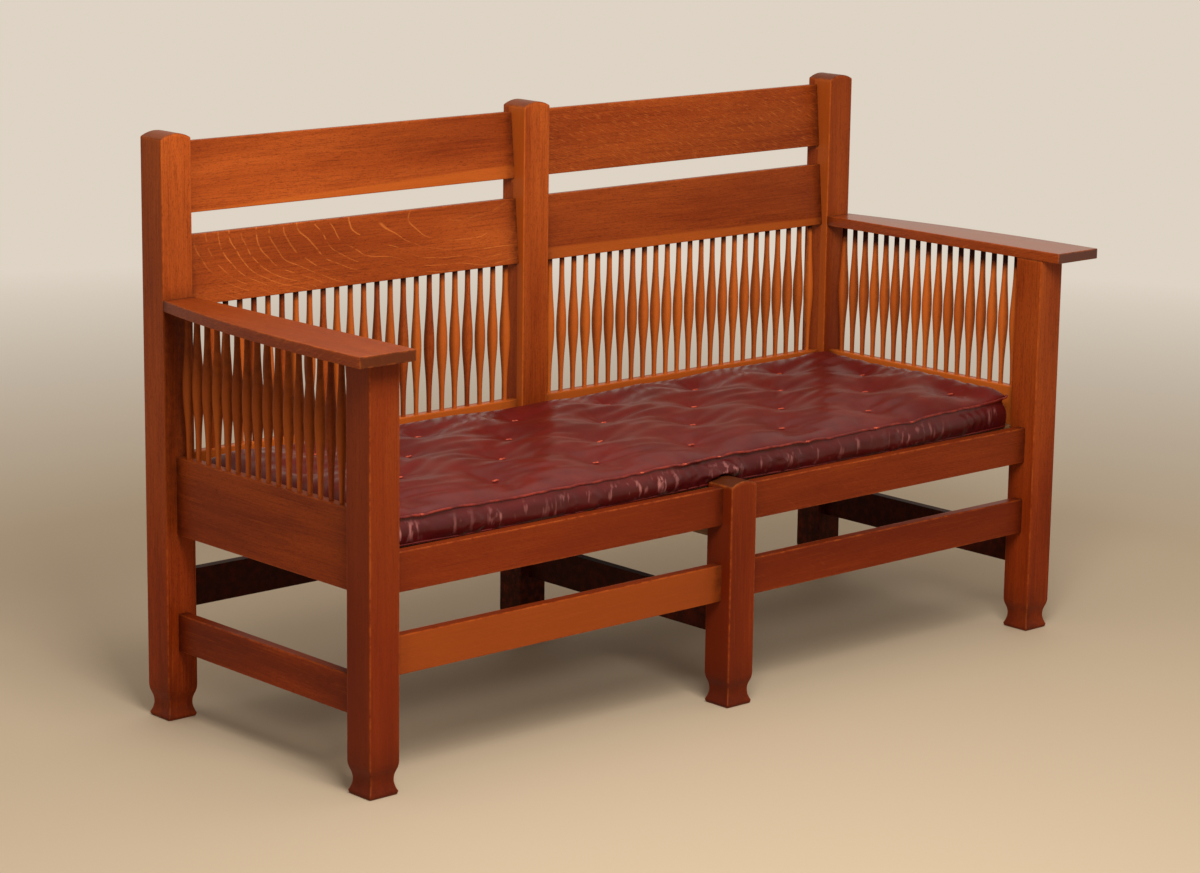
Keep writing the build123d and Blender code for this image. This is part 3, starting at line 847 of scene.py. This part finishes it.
def profile_width(along):
    """A spindle's width along it, as a share of the belly's."""
    profile = add_node(along.tree, "ShaderNodeFloatCurve", {"Value": along})
    curve = profile.mapping.curves[0]
    for at, wide in SPINDLE_SHARES[1:-1]:
        curve.points.new(at, wide)
    curve.points[0].location = SPINDLE_SHARES[0]
    curve.points[-1].location = SPINDLE_SHARES[-1]
    profile.mapping.update()
    return Wire(along.tree, profile.outputs[0])


def spindle_grime(tree, entry):
    """Painted shade on the spindles' sides that face their neighbours and towards the tops of shaded ones,
    and a painted shadow right under the rail.
    """
    normal = wire(tree, "GeometryNodeInputNormal")
    way = wire(tree, "ShaderNodeVectorMath", {0: entry["Step"]}, operation="NORMALIZE")
    facing = wire(
        tree, "ShaderNodeVectorMath", {0: normal, 1: way}, "Value", operation="DOT_PRODUCT"
    )
    level = wire(tree, "GeometryNodeInputPosition").parts()[2]
    raised = (level - entry["Start"].parts()[2]) / entry["Length"]
    shade = between(raised, 0.2, 0.75) * entry["Shade"]
    by_top = between((1.0 - raised) / entry["Dark Top"], 1.0, 0.5, 0.0, 1.5)
    return between(abs(facing), 0.62, 1.0, 0.0, 0.65).most(shade).most(by_top)


def spindle_tree():
    """Spindles in a row: one turned profile, spun about its axis and set out by a step."""
    tree, entry = tree_with_inputs(
        "spindle_row", Int=("Count", "Seed"), Vector=("Start", "Step"),
        Float=("Length", "Belly Radius", "Tone", "Shade", "Paleness", "Dark Top", "Variation"),
    )
    top = combine(tree, z=entry["Length"])
    line = wire(tree, "GeometryNodeCurvePrimitiveLine", {"End": top})
    rings = wire(tree, "GeometryNodeResampleCurve", {"Curve": line, "Count": SPINDLE_RINGS})
    width = profile_width(wire(tree, "GeometryNodeSplineParameter", output="Factor"))
    marked = store(rings, "worn", between(width, 0.6, 1.0, 0.1, 0.6))
    turned = rod(marked, SPINDLE_SIDES, entry["Belly Radius"], width, caps=True)
    places = wire(tree, "GeometryNodeMeshLine", {
        "Count": entry["Count"], "Start Location": entry["Start"], "Offset": entry["Step"],
    })
    girth = scattered(entry["Seed"], 1.0 - entry["Variation"], entry["Variation"] + 1.0)
    turn = rotation(tree, z=scattered(entry["Seed"], 0.0, 2 * pi))
    row = set_out(places, smoothed(turned), Rotation=turn, Scale=combine(tree, girth, girth, 1.0))
    tones = scattered(entry["Seed"] + 5.0, 0.0, 0.25) + entry["Tone"]
    # Paleness: random per spindle, shifted per row as painted light
    pales = scattered(entry["Seed"] + 9.0, 0.0, 2.2) + entry["Paleness"]
    row = store(store(row, "board", tones, "INSTANCE"), "pale", pales, "INSTANCE")
    real = wire(tree, "GeometryNodeRealizeInstances", {0: row})
    return close_tree(store(real, "grime", spindle_grime(tree, entry)), entry["Finish"])


def make_spindles():
    """The two rows in the back and the one under each arm."""
    tree = spindle_tree()
    steps = {
        "back": np.array([BAY_LENGTH - 2 * SPINDLE_INSET, 0, 0]) / (SPINDLE_COUNTS["back"] - 1),
        "side": np.array([0, SIDE_LENGTH - 2 * SPINDLE_INSET, 0]) / (SPINDLE_COUNTS["side"] - 1),
    }
    foot = SEAT_RAIL_TOP - SPINDLE_HIDDEN_END
    for number, (side, sign) in enumerate(SIDES.items()):
        starts = {
            "back": (sign * BAY_MIDDLE - BAY_LENGTH / 2 + SPINDLE_INSET, BACK_BOARD_Y, foot),
            "side": (sign * SIDE_BOARD_X, FRONT_POST_BACK + SPINDLE_INSET, foot),
        }
        for row, start in starts.items():
            node = f"{row}_spindles_{side}"
            values = {
                "Count": SPINDLE_COUNTS[row], "Seed": SPINDLE_SEEDS[row] + number,
                "Start": [place * METRES for place in start], "Step": (steps[row] * METRES).tolist(),
                "Length": (ARM_UNDERSIDE + SPINDLE_HIDDEN_END - foot) * METRES,
                "Belly Radius": BELLY_RADIUS * METRES, "Variation": 0.035, "Finish": OAK["z"],
            }
            fit(plain_mesh(f"oak_{node}", tree, values | SPINDLE_LOOKS[node]), node)


def dress_seat_boards():
    """The cushion's boards keep their own solids and get a bare sawn face."""
    grains = {"center_seat_rail": "y"}
    for side in SIDES:
        grains |= {f"seat_cleat_{side}": "y", f"seat_slats_{side}": "x"}
    for node, grain in grains.items():
        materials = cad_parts[node].data.materials
        materials.clear()
        materials.append(BARE[grain])


# The leather cushion

CUSHION_END = 720.2
CUSHION_FRONT, CUSHION_BACK = -214.4, 253.2
FRONT_SWELL, BACK_SWELL = 12.6, 11.2
CUSHION_CORNER = 14.0
CUSHION_BOTTOM, SEAM_LEVEL, CROWN_RISE, CROWN_REACH = 368.4, 414.0, 26.5, 27.0
# Over the middle front post, and off the rails between the posts
OVER_POST, OVER_POST_REACH = 15.0, 40.0
OVER_POST_LEVELS, OVER_POST_FULLNESS = (0.26, 0.4, 0.6, 0.95), (0, 1, 0.8, 0)
MOST_FRONT, MOST_BACK = -232.0, 265.5
# A roll by the rails, and the right end that stands higher
RAIL_RISE, RAIL_PLACE, RAIL_REACH = 7.0, 30.0, 32.0
END_RISE, END_RISE_START, END_RISE_LENGTH = 6.0, 300.0, 420.0
# Ties, and how deep and how far each draws the cover down, less far behind the last row
TIE_ROWS = (7, 6, 7, 6)
TIE_PITCH, TIE_SPACING = 213.0, 108.4
TIE_DEPTH, TIE_REACH, BEHIND_TIES, TIE_FADE, TIE_MARK_REACH = 21.0, 57.0, 1.9, 15.0, 26.0
# Soft folds across the top, which fade near the seams and the ties
FOLD_SPACING, FOLD_DEPTH, FOLD_START, FOLD_GAP = 38.0, 2.3, 40.0, 28.0
FOLD_DRIFT, FOLD_BOW = 14, 7
RIPPLE_WAVES, RIPPLE_STRENGTH = 6, 1.8
# The top seam's wander, and its knots, which draw it down
SEAM_KNOTS = (-633, -187, -90, 0, 193, 353, 447)
KNOT_DEPTH, KNOT_REACH, SEAM_REACH = 2.4, 11.0, 12.0
WEAVE_STEP = 9.0
# Shares of the side's height, and how far in from the outline the side stands there
SIDE_LEVEL_SHARES = np.array([0.0, 0.10, 0.24, 0.40, 0.56, 0.70, 0.82, 0.91, 1.0])
SIDE_INSETS = np.array([3.0, 1.6, 0.6, 0.0, 0.6, 2.6, 5.2, 7.6, 1.4])
FAR = 1e3
CUSHION_MIDDLE, HALF_DEPTH = (CUSHION_FRONT + CUSHION_BACK) / 2, (CUSHION_BACK - CUSHION_FRONT) / 2
TIES = np.array([
    ((n - (count - 1) / 2) * TIE_PITCH, SIDE_MIDDLE + (row - (len(TIE_ROWS) - 1) / 2) * TIE_SPACING)
    for row, count in enumerate(TIE_ROWS) for n in range(count)
])


def swell(x):
    """How far the cushion swells out between two posts, from 0 at a post to 1 halfway."""
    return np.clip(1 - ((np.abs(x) - BAY_MIDDLE) / (BAY_LENGTH / 2)) ** 2, 0, 1)


def ripple(x, seed, length):
    """Gentle uneven waves from -1 to 1, the same each time."""
    waves = np.random.default_rng(seed)
    total = np.zeros_like(x)
    for _ in range(RIPPLE_WAVES):
        wave = length * waves.uniform(0.6, 1.7)
        total += np.sin(2 * pi * (x / wave + waves.uniform())) / RIPPLE_WAVES
    return np.clip(total * RIPPLE_STRENGTH, -1, 1)


def cover_plan(x, y, level):
    """Where the cover's points stand in plan: its corners are round, its sides swell between
    the posts, and they draw in below and above their fullest level."""
    half = np.array([CUSHION_END, HALF_DEPTH])
    plan = np.stack([x, y - CUSHION_MIDDLE], -1)
    core = np.clip(plan, CUSHION_CORNER - half, half - CUSHION_CORNER)
    away = plan - core
    round_off = np.abs(away).max(1) / np.maximum(np.linalg.norm(away, axis=1), 1e-6)
    in_corner = np.abs(away).min(1) > 1e-6
    plan = np.where(in_corner[:, None], core + away * round_off[:, None], plan)
    across = plan[:, 1] / HALF_DEPTH
    inset = np.interp(level, SIDE_LEVEL_SHARES, SIDE_INSETS)
    over = np.interp(level, OVER_POST_LEVELS, OVER_POST_FULLNESS)
    front_reach = FRONT_SWELL * swell(x) + OVER_POST * (np.exp(-((x / OVER_POST_REACH) ** 4)) * over)
    reach = np.where(across < 0, front_reach, BACK_SWELL * swell(x)) - inset
    return plan[:, 0] * (1 - inset / CUSHION_END), CUSHION_MIDDLE + plan[:, 1] + across * reach


def top_rise(x, y, out):
    """How high the top stands over its seam, less the ties' pull, with its folds. Also gives how
    far each point is from the seam and from the nearest tie."""
    back = CUSHION_BACK + BACK_SWELL * out
    by_rails = np.minimum(back - y, CUSHION_END - np.abs(x))
    from_seam = np.maximum(np.minimum(y - CUSHION_FRONT + FRONT_SWELL * out, by_rails), 0)
    rise = CROWN_RISE * (1 - np.exp(-from_seam / CROWN_REACH)) ** 0.95
    roll = np.exp(-((by_rails - RAIL_PLACE) / RAIL_REACH) ** 2)
    rise += RAIL_RISE * roll * (1 - np.exp(-from_seam / SEAM_REACH))

    last_tie, last_row = TIES.max(0)
    nearest, pull = np.full(len(x), FAR), np.zeros(len(x))
    beyond = np.where(np.abs(x) > last_tie, BEHIND_TIES, 1.0), np.where(y > last_row, BEHIND_TIES, 1.0)
    for tie_x, tie_y in TIES:
        nearest = np.minimum(nearest, np.hypot(x - tie_x, y - tie_y))
        gap = np.hypot((x - tie_x) * beyond[0], (y - tie_y) * beyond[1])
        pull = np.maximum(pull, 1 / (1 + (gap / TIE_REACH) ** 2))
    rise -= TIE_DEPTH * pull * (1 - np.exp(-from_seam / TIE_FADE))

    drift = FOLD_DRIFT * ripple(x, seed=8, length=320) - FOLD_BOW * np.cos(2 * pi * x / TIE_PITCH)
    strength = 0.65 + 0.35 * ripple(x + 0.6 * y, seed=9, length=210)
    folds = np.sin(2 * pi * (y + drift) / FOLD_SPACING) * strength
    fade = np.clip(from_seam / FOLD_START, 0, 1) * (1 - np.exp(-(nearest / FOLD_GAP) ** 2))
    return rise + FOLD_DEPTH * folds * fade, from_seam, nearest


def seam_wander(x, y):
    """How the top seam rises and falls, and is drawn down at its knots in front."""
    wander = 1.3 * ripple(x, seed=5, length=150) + 0.6 * ripple(x + y, seed=6, length=45)
    for knot in SEAM_KNOTS:
        wander -= KNOT_DEPTH * np.exp(-((x - knot) / KNOT_REACH) ** 2) * (y < 0)
    return wander


def cushion_form():
    """The sewn cover before it is stuffed: points, quads, what is held while it is stuffed, marks
    for each point, and the points of its top and bottom seams in order."""
    xs = np.linspace(-CUSHION_END, CUSHION_END, int(2 * CUSHION_END / WEAVE_STEP))
    ys = np.linspace(CUSHION_FRONT, CUSHION_BACK, int((CUSHION_BACK - CUSHION_FRONT) / WEAVE_STEP))
    points, quads = ruled_block([xs, ys, SIDE_LEVEL_SHARES])
    flat_x, flat_y, level = points.T
    on_top, on_floor = level > 0.999, level < 0.001
    rim = (np.abs(flat_x) > xs[-1] - 0.01) | (flat_y < ys[0] + 0.01) | (flat_y > ys[-1] - 0.01)
    x, y = cover_plan(flat_x, flat_y, level)
    rise, from_seam, nearest = top_rise(x, y, swell(flat_x))
    near_seam = np.where(
        rim, np.clip((level - 0.7) / 0.3, 0, 1), on_top * np.exp(-from_seam / SEAM_REACH)
    )
    z = CUSHION_BOTTOM + level * (SEAM_LEVEL - CUSHION_BOTTOM) + on_top * rise
    z += END_RISE * level * np.clip((x - END_RISE_START) / END_RISE_LENGTH, 0, 1)
    z += seam_wander(x, y) * near_seam
    placed = np.stack([x, y, z], -1)

    held = on_floor | (rim & on_top)
    for place in TIES:
        tie = np.argmin(np.hypot(*(placed[:, :2] - place).T) + FAR * ~on_top)
        placed[tie, :2] = place
        held[tie] = True
    seams = []
    for edge in (on_top, on_floor):
        ring = np.flatnonzero(rim & edge)
        across = (placed[ring, 1] - CUSHION_MIDDLE) / HALF_DEPTH
        turn = np.arctan2(across, placed[ring, 0] / CUSHION_END)
        seams.append(ring[np.argsort(turn)])
    # pull marks the painted shade round the ties; side marks where the sides get painted shade and painted
    # highlights
    marks = {
        "pull": np.exp(-nearest / TIE_MARK_REACH) * on_top, "edge": 0.0,
        "side": np.where(rim, np.sin(pi * level) ** 0.6, 0.0),
    }
    return placed, quads, held, marks, seams


# The stuffing

STUFFING_FRAMES = 20
CLOTH = {
    "quality": 6, "mass": 0.25, "tension_stiffness": 15.0, "compression_stiffness": 15.0,
    "shear_stiffness": 5.0, "bending_stiffness": 0.5, "vertex_group_mass": "held",
    "shrink_min": -0.006, "use_pressure": True, "uniform_pressure_force": 4.0,
}
MOST_MOVE = 8.0
EASING_PASSES = 3


def share_moves(moves, quads, held):
    """Each point's move shared with its neighbours', so that no kink is as small as the weave."""
    for _ in range(EASING_PASSES):
        total, share = np.zeros_like(moves), np.zeros(len(moves))
        for near, far in ((0, 1), (1, 2), (2, 3), (3, 0)):
            for here, there in ((near, far), (far, near)):
                np.add.at(total, quads[:, here], moves[quads[:, there]])
                np.add.at(share, quads[:, here], 1)
        moves = (moves + total / share[:, None]) / 2
        moves[held] = 0
    return moves


def stuff(points, quads, held):
    """Fills the cover: the leather is cut a little too large, so that pressure from inside
    throws it into soft folds between the ties."""
    cover = new_piece("cover", new_mesh("cover", points, [], quads.tolist()))
    cover.vertex_groups.new(name="held").add(np.flatnonzero(held).tolist(), 1.0, "REPLACE")
    cloth = cover.modifiers.new("stuffing", "CLOTH")
    for setting, value in CLOTH.items():
        setattr(cloth.settings, setting, value)
    cloth.settings.effector_weights.gravity = 0
    cloth.collision_settings.use_collision = False
    cloth.collision_settings.use_self_collision = False
    cloth.point_cache.frame_start = 1
    cloth.point_cache.frame_end = STUFFING_FRAMES
    for number in range(1, STUFFING_FRAMES + 1):
        scene.frame_set(number)
    moves = read(finished(cover).data.vertices, "co", 3) / METRES - points
    bpy.data.objects.remove(cover)
    scene.frame_set(1)
    far = np.maximum(np.linalg.norm(moves, axis=1), 1e-6)
    moves *= np.minimum(1, MOST_MOVE / far)[:, None]
    return points + share_moves(moves, quads, held)


# Room beside the middle posts, and over and behind the front one's crown
POST_ROOM, CROWN_ROOM, CROWN_BACK_ROOM = 2.0, 1.2, 3.0


def keep_clear(points):
    """Keeps the cover off the posts and rails around it."""
    x, y, z = points.T
    by_post = np.abs(x) < POST / 2 + POST_ROOM
    over_crown = by_post & (y < CUSHION_FRONT + CROWN_BACK_ROOM) & (z > CENTER_POST_TOP)
    crown = CENTER_POST_TOP + CROWN * (1 - np.clip(x / (POST / 2), -1, 1) ** 2) + CROWN_ROOM
    z = np.where(over_crown, np.maximum(z, crown), z)
    y = np.maximum(y, np.where(by_post & ~over_crown, CUSHION_FRONT, MOST_FRONT))
    y = np.minimum(y, np.where(by_post, CUSHION_BACK, MOST_BACK))
    return np.stack([np.clip(x, -CUSHION_END, CUSHION_END), y, np.maximum(z, CUSHION_BOTTOM)], -1)


# Puckers in the sides, broad and sharp, and the short creases round each tie
PUCKER_SLANT, BROAD_PUCKER, SHARP_PUCKER, PINCH_REACH = 0.35, 1.4, 3.0, 80.0
TIE_CREASES, CREASE_HEIGHT, CREASE_PLACE, CREASE_REACH = 7, 0.55, 16.0, 13.0


def crease(points, outward, side, gap, bearing):
    """Upright puckers in the sides, sharpest by the middle posts, and short creases that run out
    from each tie."""
    x, y, z = points.T
    along = x + y + PUCKER_SLANT * (z - SEAM_LEVEL) + 3 * ripple(z + 0.2 * x, seed=25, length=18)
    patches = np.clip(0.45 + 0.75 * ripple(along, seed=23, length=170), 0, 1)
    strength = np.minimum(patches + np.exp(-(x / PINCH_REACH) ** 2), 1.2)
    sharp = 1 - 2 * np.sqrt(np.abs(ripple(along, seed=21, length=52)))
    depth = BROAD_PUCKER * ripple(along, seed=22, length=90) + SHARP_PUCKER * strength * sharp
    rays = np.cos(TIE_CREASES * bearing + 3 * ripple(x, seed=24, length=300))
    rays *= CREASE_HEIGHT * np.exp(-((gap - CREASE_PLACE) / CREASE_REACH) ** 2)
    return points + outward * (side * depth)[:, None] + [0, 0, 1] * rays[:, None]


def read(values, attribute, width=1):
    """Numbers of a mesh's layer, as rows where there is more than one to a point."""
    numbers = np.empty(len(values) * width, np.float32)
    values.foreach_get(attribute, numbers)
    return numbers.reshape(-1, width).squeeze().astype(float)


def make_cushion():
    """The stuffed leather cushion. Gives back the line of each seam, and where the ties are."""
    points, quads, held, marks, seams = cushion_form()
    points = stuff(points, quads, held)
    points = keep_clear(points)
    mesh = new_mesh("cover", points, [], quads.tolist())
    give(mesh, marks)
    mesh.materials.append(LEATHER)
    cushion = new_piece("leather_cushion", mesh)
    smooth = cushion.modifiers.new("smooth", "SUBSURF")
    smooth.levels = smooth.render_levels = 1
    fine = finished(cushion).data
    spots = read(fine.vertices, "co", 3) / METRES
    away = spots[:, None, :2] - TIES
    closest = np.hypot(away[..., 0], away[..., 1]).argmin(1)
    away_x, away_y = away[np.arange(len(spots)), closest].T
    gap = np.hypot(away_x, away_y) + FAR * (spots[:, 2] < SEAM_LEVEL - 4)
    outward, side = read(fine.vertex_normals, "vector", 3), read(fine.attributes["side"].data, "value")
    spots = keep_clear(crease(spots, outward, side, gap, np.arctan2(away_y, away_x)))
    fine.vertices.foreach_set("co", (spots * METRES).ravel())
    fine.update()
    fine.shade_smooth()
    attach(cushion, "cushion")
    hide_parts("seat_cushion")
    ties = []
    for number, place in enumerate(TIES):
        mine = np.flatnonzero(closest == number)
        ties.append((*place, spots[mine[gap[mine].argmin()], 2]))
    return [points[seam] for seam in seams], np.array(ties)


# Welts, stitches and ties

WELT_RADIUS, WELT_STEP, WELT_SIDES, WELT_CLEARANCE = 2.1, 6.0, 9, 0.8
STITCH_SPACING, STITCH_RISE = 8.5, 0.7
KNOT_OFFSET, TIE_OFFSET = (0, -1.2, 1.0), (0, 0, 2.2)


def smooth_line(line):
    """A ring of joined points as one smooth curve."""
    curve = wire(line.tree, "GeometryNodeMeshToCurve", {0: line})
    return wire(line.tree, "GeometryNodeCurveSplineType", {0: curve}, spline_type="CATMULL_ROM")


def welt_tree():
    """A rolled welt along a seam, a little thicker in some places than in others."""
    tree, entry = tree_with_inputs(
        "welt", Geometry=("Geometry",), Float=("Step", "Radius", "Unevenness", "Rubbed")
    )
    line = smooth_line(entry["Geometry"])
    even = wire(
        tree, "GeometryNodeResampleCurve", {"Curve": line, "Length": entry["Step"]}, mode="LENGTH"
    )
    uneven = noise(wire(tree, "GeometryNodeInputPosition"), (55.0, 55.0, 55.0)) - 0.5
    rolled = rod(even, WELT_SIDES, entry["Radius"], uneven * entry["Unevenness"] + 1.0)
    return close_tree(smoothed(store(rolled, "edge", entry["Rubbed"])), entry["Finish"])


def strand(length, girth):
    """A short strand of thread, thick in its middle, that lies along Z."""
    tree = length.tree
    ball = wire(tree, "GeometryNodeMeshUVSphere", {"Segments": 7, "Rings": 5, "Radius": 0.5})
    size = combine(tree, girth, girth, length)
    return smoothed(wire(tree, "GeometryNodeTransform", {"Geometry": ball, "Scale": size}))


def stitch_tree():
    """Slanting stitches that bind a welt."""
    tree, entry = tree_with_inputs(
        "welt_stitches", Geometry=("Geometry",), Float=("Spacing", "Length", "Girth", "Slant"),
        Int=("Seed",),
    )
    spots = add_node(tree, "GeometryNodeCurveToPoints", {
        "Curve": smooth_line(entry["Geometry"]), "Length": entry["Spacing"],
    }, mode="LENGTH").outputs
    slant = rotation(tree, scattered(entry["Seed"], -0.25, 0.25) + entry["Slant"])
    turn = wire(tree, "FunctionNodeRotateRotation", {
        0: Wire(tree, spots["Rotation"]), 1: slant,
    }, rotation_space="LOCAL")
    stitch = strand(entry["Length"], entry["Girth"])
    return close_tree(set_out(Wire(tree, spots["Points"]), stitch, Rotation=turn), entry["Finish"])


def tie_tree():
    """Tied threads: at each point two short strands that cross, turned a little at random."""
    tree, entry = tree_with_inputs(
        "crossed_threads", Geometry=("Geometry",), Float=("Length", "Girth", "Spread"),
        Int=("Seed",),
    )
    strands = add_node(tree, "GeometryNodeJoinGeometry")
    for way in (1.0, -1.0):
        laid = wire(tree, "GeometryNodeTransform", {
            "Geometry": strand(entry["Length"], entry["Girth"]),
            "Rotation": combine(tree, 0.0, pi / 2, entry["Spread"] * way),
        })
        plug(strands, {0: laid})
    placed = set_out(
        entry["Geometry"], Wire(tree, strands.outputs[0]),
        Rotation=rotation(tree, z=scattered(entry["Seed"], -0.4, 0.4)),
        Scale=scattered(entry["Seed"], 0.75, 1.1),
    )
    return close_tree(placed, entry["Finish"])


def sew(name, tree, sizes, others, points, closed=False):
    """A sewn detail of the cushion: a tree run on these points, with its sizes in millimetres."""
    count = len(points)
    links = [(n, (n + 1) % count) for n in range(count)] if closed else []
    values = {label: size * METRES for label, size in sizes.items()} | others
    piece = plain_mesh(name, tree, values, new_mesh("line", points, links, []))
    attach(piece, "cushion")


def sew_cushion(seams, ties):
    """Welts round the top and the bottom seam, stitches round the top one, knots in front, and the ties."""
    welt, stitches, threads = welt_tree(), stitch_tree(), tie_tree()
    hold = WELT_RADIUS + WELT_CLEARANCE
    for edge, seam, rubbed_and_glints in zip(("top", "bottom"), seams, (1.0, 0.0)):
        seam[:, 0] = np.clip(seam[:, 0], hold - CUSHION_END, CUSHION_END - hold)
        back_limit = np.where(np.abs(seam[:, 0]) < POST, CUSHION_BACK - hold, np.inf)
        seam[:, 1] = np.minimum(seam[:, 1], back_limit)
        seam[:, 2] = np.maximum(seam[:, 2], CUSHION_BOTTOM + WELT_RADIUS)
        sew(f"{edge}_welt", welt, {"Step": WELT_STEP, "Radius": WELT_RADIUS},
            {"Unevenness": 0.35, "Rubbed": rubbed_and_glints, "Finish": LEATHER}, seam, closed=True)
    over = seams[0] + (0, 0, STITCH_RISE)
    sew("welt_stitches", stitches, {"Spacing": STITCH_SPACING, "Length": 5.0, "Girth": 1.0},
        {"Slant": 0.5, "Seed": 31, "Finish": THREAD}, over, closed=True)
    front = over[over[:, 1] < 0]
    knots = np.array([front[np.abs(front[:, 0] - x).argmin()] for x in SEAM_KNOTS])
    sew("seam_knots", threads, {"Length": 9.0, "Girth": 3.6},
        {"Spread": 0.5, "Seed": 41, "Finish": THREAD}, knots + KNOT_OFFSET)
    sew("tufting_ties", threads, {"Length": 15.0, "Girth": 3.6},
        {"Spread": 0.2, "Seed": 42, "Finish": THREAD}, ties + TIE_OFFSET)


set_camera()
set_stage()
make_frame()
make_spindles()
dress_seat_boards()
seams, ties = make_cushion()
sew_cushion(seams, ties)
